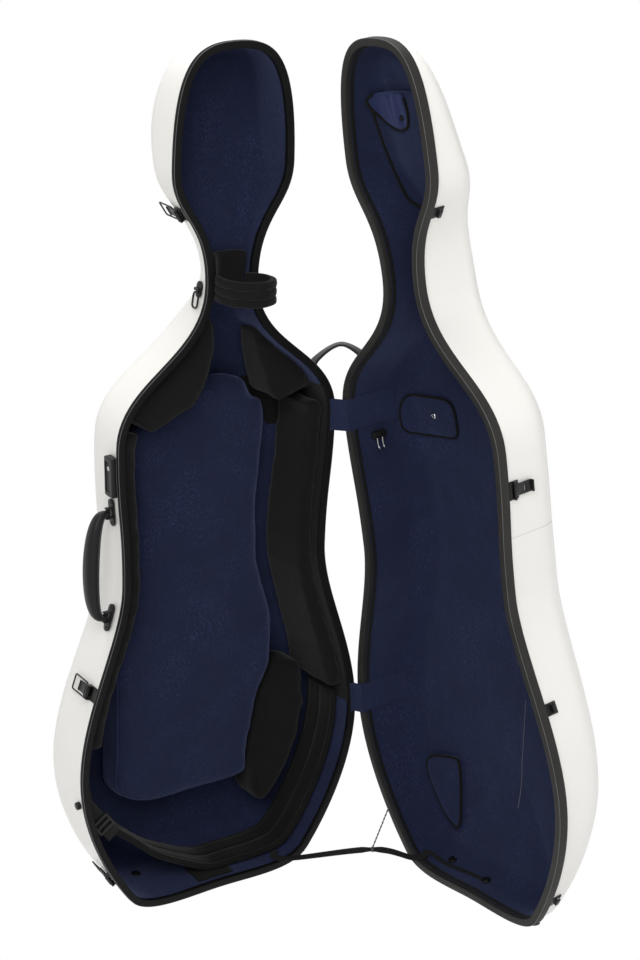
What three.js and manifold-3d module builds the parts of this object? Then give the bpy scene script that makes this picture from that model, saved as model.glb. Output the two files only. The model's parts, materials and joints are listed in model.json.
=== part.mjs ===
// A hard case for a cello, standing open like a book on its lower end.
// Millimetres, +Z up. Both halves are drawn closed in the case's own directions:
// X across the case, Z along it, Y into the base; the parting plane is Y = 0.
import * as THREE from "three";
import { mergeVertices } from "three/addons/utils/BufferGeometryUtils.js";
import Module from "manifold-3d";

const wasm = await Module();
wasm.setup();

// Pose of the whole case
const openAngle = THREE.MathUtils.degToRad(89);
const leanAngle = THREE.MathUtils.degToRad(6);
const rimClearance = 6;

// Outline of the closed case: half widths and heights of its turning points
const caseLength = 1320;
const cornerHalf = 163;
const cornerHeight = 22;
const cornerAngle = 0.9;
const lowerBoutHalf = 249;
const lowerBoutHeight = 246;
const waistHalf = 178;
const waistHeight = 541;
const upperBoutHalf = 189;
const upperBoutHeight = 752;
const neckHalf = 43;
const neckHeight = 977;
const headHalf = 101;
const headHeight = 1145;

// How far each curve of the outline runs straight before it turns
const bottomReach = 60;
const cornerReachBelow = 42;
const cornerReachAbove = 16;
const lowerReachBelow = 112;
const lowerReachAbove = 110;
const waistReachBelow = 80;
const waistReachAbove = 100;
const upperReachBelow = 95;
const upperReachAbove = 105;
const neckReachBelow = 110;
const neckReachAbove = 96;
const headReachBelow = 66;
const headReachAbove = 160;
const topReach = 58;
const outlineSteps = [5, 6, 6, 4, 8, 6, 6];

// Steps of round and bent forms
const filletTurns = [0, 30, 60, 90].map(THREE.MathUtils.degToRad);
const innerTurns = [0, 45, 90].map(THREE.MathUtils.degToRad);
const pinSides = 10;
const barrelSides = 12;
const eyeSides = 14;
const footSides = 18;
const notchSides = 24;
const wireSides = 6;
const elasticSides = 8;
const gripSides = 8;
const arcSteps = 5;
const smallArcSteps = 3;
const lockArcSteps = 2;
const bailSteps = 16;
const prongSteps = 7;
const elasticSteps = 6;
const gripSteps = 14;
const rearHandleSteps = 18;
const strapSteps = 16;
const liftSteps = 8;
const triangleCorners = 3;
const wireTension = 0.3;
const weldReach = 0.001;

// Depth of each half and radius of its back edge, at heights that the outline names
const shoulderHeight = 900;
const throatHeight = 995;
const scrollHeight = 1185;
const baseDepthAtEnd = 141;
const baseDepthAtLower = 137;
const baseDepthAtWaist = 124;
const baseDepthAtUpper = 113;
const baseDepthAtShoulder = 98;
const baseDepthAtThroat = 44;
const baseDepthAtScroll = 98;
const baseDepthAtTop = 82;
const lidDepthAtEnd = 72;
const lidDepthAtLower = 104;
const lidDepthAtWaist = 120;
const lidDepthAtUpper = 113;
const lidDepthAtShoulder = 120;
const lidDepthAtThroat = 118;
const lidDepthAtScroll = 72;
const lidDepthAtTop = 46;
const bodyFillet = 45;
const neckFillet = 27;
const headFillet = 32;
const panelCrown = 12;
const draftShare = 0.052;
const leastStretch = 0.55;
const innermostShare = 0.94;
const middleRingShare = 0.75;
const spineLow = 205;
const spineHigh = 1225;

// Walls, rims and gaps
const seatGap = 0.3;
const faceGap = 0.2;
const rimWall = 3;
const rimFaceThickness = 3;
const shellWall = 4;
const innerLipWall = 3.4;
const innerLipDepth = 8;
const baseBandDepth = 7;
const lidBandDepth = 15;
const liningWall = 3;
const shellInset = rimWall + seatGap;
const liningOffset = shellWall + seatGap;
const liningFace = liningOffset + liningWall;
const padOffset = liningFace + seatGap;
const shellEdge = faceGap + rimFaceThickness + seatGap;
const rimLip = shellInset + shellWall + seatGap + draftShare * innerLipDepth;
const rimInner = rimLip + innerLipWall;
const liningEdge = innerLipDepth + seatGap;

// Hinges: two short barrels outside the rims at the widest places
const lowerHingeAbove = 22;
const upperHingeBelow = 3;
const lowerHingeHeight = lowerBoutHeight + lowerHingeAbove;
const upperHingeHeight = upperBoutHeight - upperHingeBelow;
const lowerHingeStandOff = 4.4;
const upperHingeStandOff = 8.8;
const barrelRadius = 2.4;
const hingePinRadius = 1;
const hingeRunningGap = 0.35;
const hingeLength = 40;
const knuckleCount = 5;
const leafReach = 30;
const leafThickness = 1.4;

// Carry handle and its two brackets on the base's open side
const handleAboveWaist = 28;
const handleMiddleHeight = waistHeight + handleAboveWaist;
const handleSpan = 165;
const handleStandOff = 26;
const handleDepth = 30;
const handlePivotRise = 8;
const handleGripWidth = 26;
const handleGripThickness = 22;
const handleEndWidth = 11;
const handleEndThickness = 9;
const handleSwellPower = 0.85;
const handleRisePower = 0.6;
const handleBulgeShare = 0.08;
const bracketLength = 42;
const bracketWidth = 15;
const bracketThickness = 3;
const bracketPinRadius = 1.8;
const handleEyeRadius = 3.6;
const bracketEarThickness = 2.4;
const bracketEarGap = 12.4;
const bracketLift = 1.5;
const handleLowEnd = handleMiddleHeight - (handleSpan + bracketLength) / 2;
const handleHighEnd = handleMiddleHeight + (handleSpan + bracketLength) / 2;

// Latches: each keeps its distance from the form or fitting beside it
const latchOverCorner = 32;
const latchUnderHandle = 89.5;
const latchOverNeck = 103;
const latchUnderTop = 28;
const latchHeights = {
  bottom: cornerHeight + latchOverCorner,
  lower: handleLowEnd - latchUnderHandle,
  neck: neckHeight + latchOverNeck,
  top: caseLength - latchUnderTop,
};
const latchWidth = 22;
const latchPlateThickness = 1.6;
const latchPlateStart = 8.5;
const latchPlateLength = 25;
const latchPivotBack = 5;
const latchPivotRise = 5.7;
const latchPinRadius = 1.3;
const latchEarThickness = 2;
const leverLength = 27;
const leverThickness = 2.4;
const leverLipRise = 3;
const leverWidth = 15;
const leverEyeFrom = THREE.MathUtils.degToRad(63);
const leverEyeTo = THREE.MathUtils.degToRad(270);
const bailPivotAlong = 9;
const bailEyeRadius = 2.4;
const bailWireRadius = 1.2;
const bailLength = 40;
const bailWidth = 23;
const bailBend = 3;
const bailStraightShare = 0.9;
const bailCornerInShare = 0.8;
const bailCornerAlongShare = 0.1;
const catchWidth = 18;
const catchPlateLength = 20;
const catchPlateThickness = 1.8;
const catchHookWidth = 12.6;
const catchHookRise = 5.5;
const catchHookThickness = 2.2;
const catchHookLip = 4;

// Lock on the base and hasp on the lid
const lockAboveHandle = 9;
const lockLength = 58;
const lockHeight = handleHighEnd + lockAboveHandle + lockLength / 2;
const lockDepth = 22;
const lockThickness = 11;
const lockStart = 8.5;
const lockFaceWidth = 13;
const lockFaceLength = 46;
const lockFaceSunk = 2;
const lockRounding = 2;
const haspBelowLock = 13;
const haspHeight = lockHeight - haspBelowLock;
const haspWidth = 27;
const haspPlateStart = 17;
const haspPlateLength = 16;
const haspArmLength = 30;
const haspArmWidth = 17;
const haspArmThickness = 2.6;
const haspPivotRise = 4.4;
const haspBarrelRadius = 2.3;
const haspPinRadius = 1.1;
const haspTabRise = 7;
const haspSlotPlace = 18;
const haspSlotLength = 9;
const haspSlotWidth = 4;

// Ring for a strap beside the neck, stud for its other end
const strapRingUnderNeck = 11;
const strapRingHeight = neckHeight - strapRingUnderNeck;
const strapRingDepth = 25;
const strapPlateWidth = 15;
const strapPlateLength = 24;
const strapPlateThickness = 2;
const strapRingWire = 2.2;
const strapRingWidth = 17;
const strapRingLength = 26;
const strapBarrelRadius = 2.1;
const strapBarrelLength = 6;
const strapPinRadius = 1;
const strapPostRise = 4.5;
const strapStudUnderBout = 48;
const strapStudHeight = lowerBoutHeight - strapStudUnderBout;
const strapStudDepth = 24;
const strapStudRadius = 6;
const strapStudRise = 7;

// Rear handle that crosses from base to lid over the hinge side
const rearHandleOverHinge = 37;
const rearHandleHeight = upperHingeHeight + hingeLength / 2 + rearHandleOverHinge;
const rearHandleBaseDepth = 21;
const rearHandleLidDepth = 36;
const rearHandlePeakOut = 25;
const rearHandlePeakDepth = 5;
const rearHandlePeakRise = 50;
const rearHandleWidth = 20;
const rearHandleThickness = 4.5;
const rearHandleFoot = 12;
const rearHandleFootRun = 6;
const rearHandleFootRise = 1;
const rearHandleRun = 24;
const rearHandleRise = 6;

// Feet
const baseFootAcross = 95;
const baseFootDepth = 48;
const footRadius = 13;
const lidFootAcross = 116;
const lidFootDepth = 34;
const lidFootRadius = 10;
const lidFootSpare = 2;
const footLength = 34;

// Pads in the base: corners are [across, height]
const cushionSideInset = 62;
const cushionMostHalf = 152;
const cushionTop = 820;
const cushionBottom = 122;
const cushionFront = 78;
const cushionEdgeFall = 9;
const cushionShoulderRun = 7;
const cushionCrown = 8;
const cushionEndShare = 0.12;
const cushionBottomRun = 46;
const cushionTopRun = 45;
const cushionHeightShares = [0, 0.007, 0.02, 0.04, 0.07, 0.13, 0.25, 0.4, 0.54, 0.68, 0.8, 0.89, 0.95, 0.985, 1];
const cushionRunShare = 0.4;
const cushionFallShare = 0.3;
const sidePadThickness = 27;
const sidePadSlope = 8;
const sidePadBottom = 284;
const sidePadTop = 773;
const sidePadFront = 9.5;
const shoulderPadFront = 22;
const shoulderPadInnerCorners = 5;
const shoulderPadOpen = [
  [23, 939],
  [7, 892],
  [15, 840],
  [40, 790],
  [117, 757],
  [146, 783],
  [200, 783],
];
const shoulderPadHinge = [
  [28, 939],
  [50, 905],
  [72, 850],
  [88, 805],
  [100, 772],
  [150, 785],
  [200, 785],
];
const lowerPadFront = 62;
const lowerPadInnerCorners = 5;
const lowerPadCorners = [
  [158, 327],
  [130, 282],
  [112, 205],
  [101, 150],
  [106, 96],
  [122, 82],
  [160, 125],
  [187, 180],
  [200, 248],
  [190, 318],
];

// Padded band round the lower end, and the webbing and buckle that hold it
const bandThickness = 9;
const bandSwell = 2;
const bandFront = 28;
const bandWidth = 70;
const bandTop = 270;
const bandSteps = 44;
const bandSwellShares = [0.7, 0.3];
const bandLine = [
  [-230, 225],
  [-214, 172],
  [-184, 136],
  [-145, 103],
  [-102, 66],
  [-50, 37],
];
const webbingWidth = 22;
const webbingThickness = 1.6;
const webbingStart = [-232, 200];
const webbingEnd = [-180, 128];
const buckleWidth = 30;
const buckleLength = 26;
const buckleThickness = 4;
const buckleBar = 4;
const buckleShare = 0.62;

// Neck rest and its strap: path points are [across, depth], section shares are [rise, height]
const cradleBottom = 944;
const cradleTop = 1020;
const cradleFront = 9.5;
const cradleNotchRadius = 24;
const cradleNotchDepth = 15;
const neckStrapBottom = 951;
const neckStrapHeight = 38;
const neckStrapThickness = 9;
const neckStrapChannel = 2;
const neckStrapPath = [
  [-24, 8.4],
  [-27, -14],
  [-17, -42],
  [9, -57],
  [33, -52],
  [43, -34],
  [37, -12],
  [22, 2],
];
const neckStrapSectionShares = [
  [-1, 0],
  [0.6, 0],
  [1, 0.08],
  [1, 0.27],
  [0, 0.34],
  [1, 0.41],
  [1, 0.59],
  [0, 0.66],
  [1, 0.73],
  [1, 0.92],
  [0.6, 1],
  [-1, 1],
];

// Pockets and bow holders in the lid: corners are [across, height]
const pouchThickness = 12;
const pouchFlapThickness = 3;
const pouchCorners = [
  [-58, 1228],
  [96, 1232],
  [116, 1200],
  [110, 1150],
  [96, 1118],
  [66, 1092],
  [12, 1072],
  [-36, 1078],
  [-60, 1104],
];
const pouchFlapCorners = [
  [-58, 1228],
  [96, 1232],
  [60, 1206],
  [14, 1184],
  [-30, 1196],
];
const bowFlapThickness = 4;
const bowFlapCorners = [
  [58, 702],
  [166, 698],
  [168, 738],
  [160, 760],
  [70, 762],
  [60, 752],
];
const bowPocketThickness = 15;
const bowPocketCorners = [
  [112, 171],
  [178, 160],
  [186, 142],
  [167, 118],
  [148, 93],
  [124, 70],
  [99, 56],
  [104, 104],
];
const bowClipHeight = 708;
const bowClipDepth = 47;
const bowClipLength = 22;
const bowClipWidth = 10;
const bowClipThickness = 3;
const bowClipPinRadius = 1.5;
const bowSpinnerRise = 3.6;
const bowSpinnerThickness = 5;
const bowProngRadius = 1.3;
const bowProngSpacing = 9;
const bowProngReach = 18;
const bowProngHook = 5;
const bowProngStraightShare = 0.6;
const bowProngBendShare = 0.9;
const bowProngHookShare = 0.3;

// Fabric covers over the hinges
const coverHeight = 50;
const coverThickness = 1.6;
const coverReach = 82;
const coverBaseReach = 9;
const coverBaseShare = 0.25;
const coverReachShares = [0.5, 0.75, 1];

// Webbing stay between the two lower ends and the elastic that gathers it
const stayWidth = 12;
const stayThickness = 1.8;
const stayBaseAcross = 126;
const stayLidAcross = 147;
const stayAnchorDepth = 27;
const stayRise = 15;
const stayStandOff = 1.8;
const stayKnotShare = 0.68;
const elasticRadius = 1.3;
const elasticHeight = 84;

const sides = { open: -1, hinge: 1 };
const halves = { base: 1, lid: -1 };

const colours = {
  shell: [0xf1efe9, 0.32, 0],
  rim: [0x2b2a29, 0.55, 0],
  plush: [0x1c2138, 0.95, 0],
  foam: [0x161615, 0.9, 0],
  webbing: [0x141414, 0.85, 0],
  elastic: [0x5a5a58, 0.8, 0],
  blackMetal: [0x1d1d1d, 0.45, 0.8],
  handle: [0x1a1a1a, 0.6, 0],
  rubber: [0x161616, 0.8, 0],
  steel: [0xb9bcc0, 0.3, 1],
};

const root = new THREE.Group();
const base = new THREE.Group();
const lid = new THREE.Group();

// Solids and boolean work

function solidOf(geometry) {
  const bare = geometry.clone();
  bare.deleteAttribute("normal");
  bare.deleteAttribute("uv");
  const merged = mergeVertices(bare, weldReach);
  return new wasm.Manifold(
    new wasm.Mesh({
      numProp: 3,
      vertProperties: new Float32Array(merged.attributes.position.array),
      triVerts: new Uint32Array(merged.index.array),
    }),
  );
}

function geometryOf(solid) {
  const mesh = solid.getMesh();
  const geometry = new THREE.BufferGeometry();
  geometry.setAttribute("position", new THREE.BufferAttribute(new Float32Array(mesh.vertProperties), 3));
  geometry.setIndex(new THREE.BufferAttribute(new Uint32Array(mesh.triVerts), 1));
  return geometry;
}

function join(...geometries) {
  return geometryOf(geometries.map(solidOf).reduce((a, b) => a.add(b)));
}

function cut(geometry, ...tools) {
  return geometryOf(tools.map(solidOf).reduce((a, b) => a.subtract(b), solidOf(geometry)));
}

function boxAt(size, centre) {
  return new THREE.BoxGeometry(...size).translate(...centre);
}

function rod(radius, length, sidesRound = pinSides) {
  return new THREE.CylinderGeometry(radius, radius, length, sidesRound);
}

// Prism that rises along Z from a flat shape
function prism(shape, depth, curveSegments = arcSteps) {
  return new THREE.ExtrudeGeometry(shape, { depth, curveSegments, bevelEnabled: false });
}

function moved(x, y, z) {
  return new THREE.Matrix4().makeTranslation(x, y, z);
}

// Adds a named mesh to a group, placed by a matrix when one is given
function addPart(name, geometry, look, group, matrix) {
  const [color, roughness, metalness] = colours[look];
  const mesh = new THREE.Mesh(geometry, new THREE.MeshStandardMaterial({ color, roughness, metalness }));
  mesh.name = name;
  if (matrix) mesh.applyMatrix4(matrix);
  group.add(mesh);
  return mesh;
}

// Closed strip of quads through rings of points, with its two ends capped or left to meet themselves
// Rings before the turn are listed backwards; their faces are split along the same diagonals as the rest
function loft(rings, { capped = false, looped = false, turn = 0 } = {}) {
  const count = rings[0].length;
  const points = rings.flat();
  const index = [];
  const last = looped ? rings.length : rings.length - 1;
  for (let k = 0; k < last; k++) {
    const here = k * count;
    const next = ((k + 1) % rings.length) * count;
    for (let i = 0; i < count; i++) {
      const j = (i + 1) % count;
      if (k < turn) index.push(here + i, here + j, next + i, here + j, next + j, next + i);
      else index.push(here + i, here + j, next + j, here + i, next + j, next + i);
    }
  }
  if (capped) {
    for (const [ring, far] of [[0, false], [rings.length - 1, true]]) {
      const flat = rings[ring].map((p) => flatten(p, rings[ring]));
      for (const [a, b, c] of THREE.ShapeUtils.triangulateShape(flat, [])) {
        const [p, q, r] = [a, b, c].map((v) => ring * count + v);
        index.push(...(far ? [p, q, r] : [p, r, q]));
      }
    }
  }
  return orient(points, index);
}

// Drops a ring's point onto the ring's own plane, for triangulating a cap
function flatten(point, ring) {
  const normal = new THREE.Vector3();
  ring.forEach((p, i) => normal.add(p.clone().cross(ring[(i + 1) % ring.length])));
  normal.normalize();
  const across = ring[1].clone().sub(ring[0]).normalize();
  const up = normal.clone().cross(across);
  return new THREE.Vector2(point.dot(across), point.dot(up));
}

// Builds the geometry, drops collapsed triangles and turns the faces outward
function orient(points, index) {
  const raw = new THREE.BufferGeometry();
  const numbers = new Float32Array(points.flatMap((p) => p.toArray()));
  raw.setAttribute("position", new THREE.BufferAttribute(numbers, 3));
  raw.setIndex(index);
  const merged = mergeVertices(raw, weldReach);
  const position = merged.attributes.position;
  const at = (v) => new THREE.Vector3().fromBufferAttribute(position, v);
  const kept = [];
  let volume = 0;
  for (let t = 0; t < merged.index.count; t += triangleCorners) {
    const [a, b, c] = [0, 1, 2].map((k) => merged.index.getX(t + k));
    if (a === b || b === c || a === c) continue;
    kept.push(a, b, c);
    volume += at(a).dot(at(b).cross(at(c)));
  }
  if (volume < 0) {
    for (let t = 0; t < kept.length; t += triangleCorners) {
      [kept[t], kept[t + 1]] = [kept[t + 1], kept[t]];
    }
  }
  merged.setIndex(kept);
  return merged;
}

// The outline and what is measured from it

function smoothTable(rows) {
  return (z) => {
    let k = 0;
    while (k < rows.length - 2 && z > rows[k + 1][0]) k++;
    const [z0, v0] = rows[k];
    const [z1, v1] = rows[k + 1];
    const slope = (a) => {
      const low = rows[Math.max(a - 1, 0)];
      const high = rows[Math.min(a + 1, rows.length - 1)];
      return (high[1] - low[1]) / (high[0] - low[0]);
    };
    const span = z1 - z0;
    const t = THREE.MathUtils.clamp((z - z0) / span, 0, 1);
    const rest = 1 - t;
    const ease = v0 * rest * rest * (1 + 2 * t) + v1 * t * t * (3 - 2 * t);
    return ease + span * (slope(k) * t * rest * rest - slope(k + 1) * t * t * rest);
  };
}

const depthOf = {
  base: smoothTable([
    [0, baseDepthAtEnd],
    [lowerBoutHeight, baseDepthAtLower],
    [waistHeight, baseDepthAtWaist],
    [upperBoutHeight, baseDepthAtUpper],
    [shoulderHeight, baseDepthAtShoulder],
    [throatHeight, baseDepthAtThroat],
    [scrollHeight, baseDepthAtScroll],
    [caseLength, baseDepthAtTop],
  ]),
  lid: smoothTable([
    [0, lidDepthAtEnd],
    [lowerBoutHeight, lidDepthAtLower],
    [waistHeight, lidDepthAtWaist],
    [upperBoutHeight, lidDepthAtUpper],
    [shoulderHeight, lidDepthAtShoulder],
    [throatHeight, lidDepthAtThroat],
    [scrollHeight, lidDepthAtScroll],
    [caseLength, lidDepthAtTop],
  ]),
};

const filletAt = smoothTable([
  [0, bodyFillet],
  [upperBoutHeight, bodyFillet],
  [throatHeight, neckFillet],
  [scrollHeight, headFillet],
  [caseLength, headFillet],
]);

const crownAt = smoothTable([
  [0, panelCrown],
  [upperBoutHeight, panelCrown],
  [throatHeight, 0],
  [caseLength, 0],
]);

function outlineCurves() {
  const cornerDirection = new THREE.Vector2(Math.cos(cornerAngle), Math.sin(cornerAngle));
  const up = new THREE.Vector2(0, 1);
  const knots = [
    [new THREE.Vector2(0, 0), new THREE.Vector2(1, 0), 0, bottomReach],
    [new THREE.Vector2(cornerHalf, cornerHeight), cornerDirection, cornerReachBelow, cornerReachAbove],
    [new THREE.Vector2(lowerBoutHalf, lowerBoutHeight), up, lowerReachBelow, lowerReachAbove],
    [new THREE.Vector2(waistHalf, waistHeight), up, waistReachBelow, waistReachAbove],
    [new THREE.Vector2(upperBoutHalf, upperBoutHeight), up, upperReachBelow, upperReachAbove],
    [new THREE.Vector2(neckHalf, neckHeight), up, neckReachBelow, neckReachAbove],
    [new THREE.Vector2(headHalf, headHeight), up, headReachBelow, headReachAbove],
    [new THREE.Vector2(0, caseLength), new THREE.Vector2(-1, 0), topReach, 0],
  ];
  return knots.slice(1).map(([end, endWay, reachIn], k) => {
    const [start, startWay, , reachOut] = knots[k];
    const first = start.clone().addScaledVector(startWay, reachOut);
    const second = end.clone().addScaledVector(endWay, -reachIn);
    return new THREE.CubicBezierCurve(start, first, second, end);
  });
}

// A station holds a point of the outline, its outward normal and the way in towards the spine
function stationFrom(point, tangent, side) {
  const x = side * point.x;
  const normal = new THREE.Vector3(side * tangent.y, 0, -tangent.x).normalize();
  const spine = new THREE.Vector3(0, 0, THREE.MathUtils.clamp(point.y, spineLow, spineHigh));
  const origin = new THREE.Vector3(x, 0, point.y);
  const inward = spine.clone().sub(origin);
  const reach = inward.length();
  inward.normalize();
  return { origin, normal, spine, inward, reach, stretch: Math.max(-normal.dot(inward), leastStretch) };
}

const curves = outlineCurves();

function outlineRow(stepsOfCurves, side) {
  const row = [];
  curves.forEach((curve, k) => {
    const steps = stepsOfCurves[k];
    for (let i = 0; i < steps; i++) {
      row.push(stationFrom(curve.getPoint(i / steps), curve.getTangent(i / steps), side));
    }
  });
  const top = curves[curves.length - 1];
  row.push(stationFrom(top.getPoint(1), top.getTangent(1), side));
  return row;
}

const rows = {
  [sides.hinge]: outlineRow(outlineSteps, sides.hinge),
  [sides.open]: outlineRow(outlineSteps, sides.open),
};
const stations = [...rows[sides.hinge], ...rows[sides.open].slice(1, -1).reverse()];

// A place between two neighbouring stations, on the facet that joins them
function facetPlace(row, next, share, side) {
  const ends = [row[next - 1], row[next]];
  const origin = ends[0].origin.clone().lerp(ends[1].origin, share);
  const along = ends[1].origin.clone().sub(ends[0].origin).normalize();
  const normal = new THREE.Vector3(side * along.z, 0, -side * along.x);
  return { origin, normal, along, ends, share };
}

// The place at a height on one side
function stationAt(height, side) {
  const row = rows[side];
  const next = Math.max(1, row.findIndex((s) => s.origin.z >= height));
  const [low, high] = [row[next - 1].origin.z, row[next].origin.z];
  return facetPlace(row, next, (height - low) / (high - low), side);
}

// The place at a distance across, on the lower edge between the corners
function stationAcross(across, side) {
  const row = rows[side];
  const next = row.findIndex((s) => Math.abs(s.origin.x) >= across);
  const [near, far] = [Math.abs(row[next - 1].origin.x), Math.abs(row[next].origin.x)];
  return facetPlace(row, next, (across - near) / (far - near), side);
}

// A point inside the outline at a station: inset from the rim's outer edge, and y from the parting plane
function insetPoint(station, inset, y) {
  if (station.ends) {
    const [a, b] = station.ends;
    return insetPoint(a, inset, y).lerp(insetPoint(b, inset, y), station.share);
  }
  const run = Math.min(inset / station.stretch, innermostShare * station.reach);
  return station.origin.clone().addScaledVector(station.inward, run).setY(y);
}

// Measures of a half's wall at a station, for a surface that lies offset inside the shell's outer face
function wallMeasures(station, half, offset) {
  const z = station.origin.z;
  const fillet = filletAt(z);
  const depth = depthOf[half](z);
  const straight = depth - fillet;
  const centre = shellInset + draftShare * straight + fillet;
  return { straight, centre, radius: fillet - offset, depth: depth - offset };
}

function filletPoint(station, half, offset, turn) {
  const { straight, centre, radius } = wallMeasures(station, half, offset);
  return [centre - radius * Math.cos(turn), straight + radius * Math.sin(turn)];
}

// How far in a half's inner face lies at a depth
function innerInset(station, half, offset, depth) {
  const arc = innerTurns.map((turn) => filletPoint(station, half, offset, turn));
  const line = [[shellInset + offset, 0], ...arc];
  const next = Math.max(1, line.findIndex(([, y]) => y >= depth));
  const [[inset0, y0], [inset1, y1]] = [line[next - 1], line[next]];
  return inset0 + ((inset1 - inset0) * (depth - y0)) / (y1 - y0);
}

// Rings of a half's surface, from its edge near the parting plane to the spine
function halfRings(half, offset, edge, turns = innerTurns) {
  const way = halves[half];
  const rings = [stations.map((s) => insetPoint(s, shellInset + draftShare * edge + offset, way * edge))];
  for (const turn of turns) {
    rings.push(
      stations.map((s) => {
        const [inset, y] = filletPoint(s, half, offset, turn);
        return insetPoint(s, inset, way * y);
      }),
    );
  }
  const spine = stations.map((s) => {
    const z = s.spine.z;
    return s.spine.clone().setY(way * (depthOf[half](z) + crownAt(z) - offset));
  });
  const panelEdge = rings[rings.length - 1];
  const middle = panelEdge.map((p, k) => {
    const y = THREE.MathUtils.lerp(p.y, spine[k].y, middleRingShare);
    return p.clone().lerp(spine[k], 0.5).setY(y);
  });
  return [...rings, middle, spine];
}

// A skin between two offsets from the shell's outer face
function skinGeometry(half, near, far, edge) {
  const outer = halfRings(half, near, edge, near ? innerTurns : filletTurns);
  const inner = halfRings(half, far, edge);
  return loft([...outer.reverse(), ...inner], { turn: outer.length - 1 });
}

// The closed volume inside a surface, used to cut what seats against it
function envelopeSolid(half, offset, edge) {
  const rings = halfRings(half, offset, edge, offset > 0 ? innerTurns : filletTurns);
  const flat = stations.map((s) => s.spine.clone().setY(halves[half] * edge));
  return solidOf(loft([flat, ...rings]));
}

function largestBody(solid) {
  return geometryOf(solid.decompose().reduce((a, b) => (b.volume() > a.volume() ? b : a)));
}

function keepWithin(geometry, half, offset) {
  return largestBody(solidOf(geometry).intersect(envelopeSolid(half, offset, liningEdge)));
}

// The channel-shaped trim that closes over a shell's edge
function rimGeometry(half, bandDepth) {
  const way = halves[half];
  const lip = rimLip;
  const floor = faceGap + rimFaceThickness;
  const section = [
    [0, faceGap],
    [0, bandDepth],
    [rimWall, bandDepth],
    [rimWall, floor],
    [lip, floor],
    [lip, innerLipDepth],
    [rimInner, innerLipDepth],
    [rimInner, faceGap],
  ];
  const rings = section.map(([inset, y]) => stations.map((s) => insetPoint(s, inset, way * y)));
  return loft(rings, { looped: true });
}

// A place on the outer wall: local x along the outline, y out of the wall, z deeper into the half
function wallPlace(station, half, depth, rise = 0) {
  const way = halves[half];
  const onWall = (place, y) => insetPoint(place, shellInset + draftShare * y, way * y);
  const foot = onWall(station, depth);
  const deep = onWall(station, 2 * depth).sub(foot).normalize();
  const along = onWall(station.ends[1], depth).sub(onWall(station.ends[0], depth)).normalize();
  const out = deep.clone().cross(along).normalize();
  if (out.dot(station.normal) < 0) {
    out.negate();
    along.negate();
  }
  const across = out.clone().cross(deep).normalize();
  const matrix = new THREE.Matrix4().makeBasis(across, out, across.clone().cross(out));
  return matrix.setPosition(foot.addScaledVector(out, seatGap + rise));
}

// How far the outline stands out of a place's own line, or into the case for way -1, within a reach of it
function wallLift(height, side, reach, way = 1) {
  const middle = stationAt(height, side);
  let lift = 0;
  for (let k = -liftSteps; k <= liftSteps; k++) {
    const other = stationAt(height + (reach * k) / liftSteps, side);
    lift = Math.max(lift, way * other.origin.clone().sub(middle.origin).dot(middle.normal));
  }
  return lift;
}

// Shells, rims and linings

function addHalf(half, group, bandDepth) {
  addPart(`${half}_shell`, skinGeometry(half, 0, shellWall, shellEdge), "shell", group);
  addPart(`${half}_rim`, rimGeometry(half, bandDepth), "rim", group);
  addPart(`${half}_lining`, skinGeometry(half, liningOffset, liningFace, liningEdge), "plush", group);
}

// Latches on the base: a plate with ears and a pin, a lever and a wire bail

function latchPlate() {
  const plate = boxAt(
    [latchWidth, latchPlateThickness, latchPlateLength],
    [0, latchPlateThickness / 2, 0],
  );
  const earTall = latchPivotRise + 2 * latchPinRadius;
  const earX = latchWidth / 2 - latchEarThickness / 2;
  const earZ = latchPlateLength / 2 - latchPivotBack;
  const earSize = [latchEarThickness, earTall, 2 * latchPivotBack];
  const ears = [-earX, earX].map((x) => boxAt(earSize, [x, earTall / 2, earZ]));
  const pin = rod(latchPinRadius, latchWidth - latchEarThickness).rotateZ(Math.PI / 2);
  return join(plate, ...ears, pin.translate(0, latchPivotRise, earZ));
}

// Lever drawn about its own pivot: it lies thrown back, pointing away from the parting plane
function latchLever() {
  const eye = latchPinRadius + leverThickness;
  const shape = new THREE.Shape();
  shape.absarc(0, 0, eye, leverEyeFrom, leverEyeTo, false);
  shape.lineTo(leverLength, -eye);
  shape.lineTo(leverLength + leverLipRise, -eye + leverLipRise);
  shape.lineTo(leverLength + leverLipRise - leverThickness, -eye + leverLipRise + leverThickness / 2);
  shape.lineTo(leverLength - leverThickness / 2, -eye + leverThickness);
  shape.lineTo(eye, -eye + leverThickness);
  const body = prism(shape, leverWidth);
  body.translate(0, 0, -leverWidth / 2).rotateY(-Math.PI / 2);
  const bore = rod(latchPinRadius + seatGap, 2 * leverWidth).rotateZ(Math.PI / 2);
  const post = rod(bailEyeRadius, leverWidth).rotateZ(Math.PI / 2);
  post.translate(0, -eye + bailEyeRadius, bailPivotAlong);
  const eyeBore = rod(bailWireRadius + 2 * seatGap, 2 * leverWidth).rotateZ(Math.PI / 2);
  eyeBore.translate(0, -eye + bailEyeRadius, bailPivotAlong);
  return cut(join(body, post), bore, eyeBore);
}

function wire(points, radius, steps, sidesRound = wireSides) {
  const shape = new THREE.Shape();
  for (let k = 0; k < sidesRound; k++) {
    const turn = (2 * Math.PI * k) / sidesRound;
    shape[k ? "lineTo" : "moveTo"](radius * Math.cos(turn), radius * Math.sin(turn));
  }
  const path = new THREE.CatmullRomCurve3(points, false, "catmullrom", wireTension);
  return new THREE.ExtrudeGeometry(shape, { extrudePath: path, steps, bevelEnabled: false });
}

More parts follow.
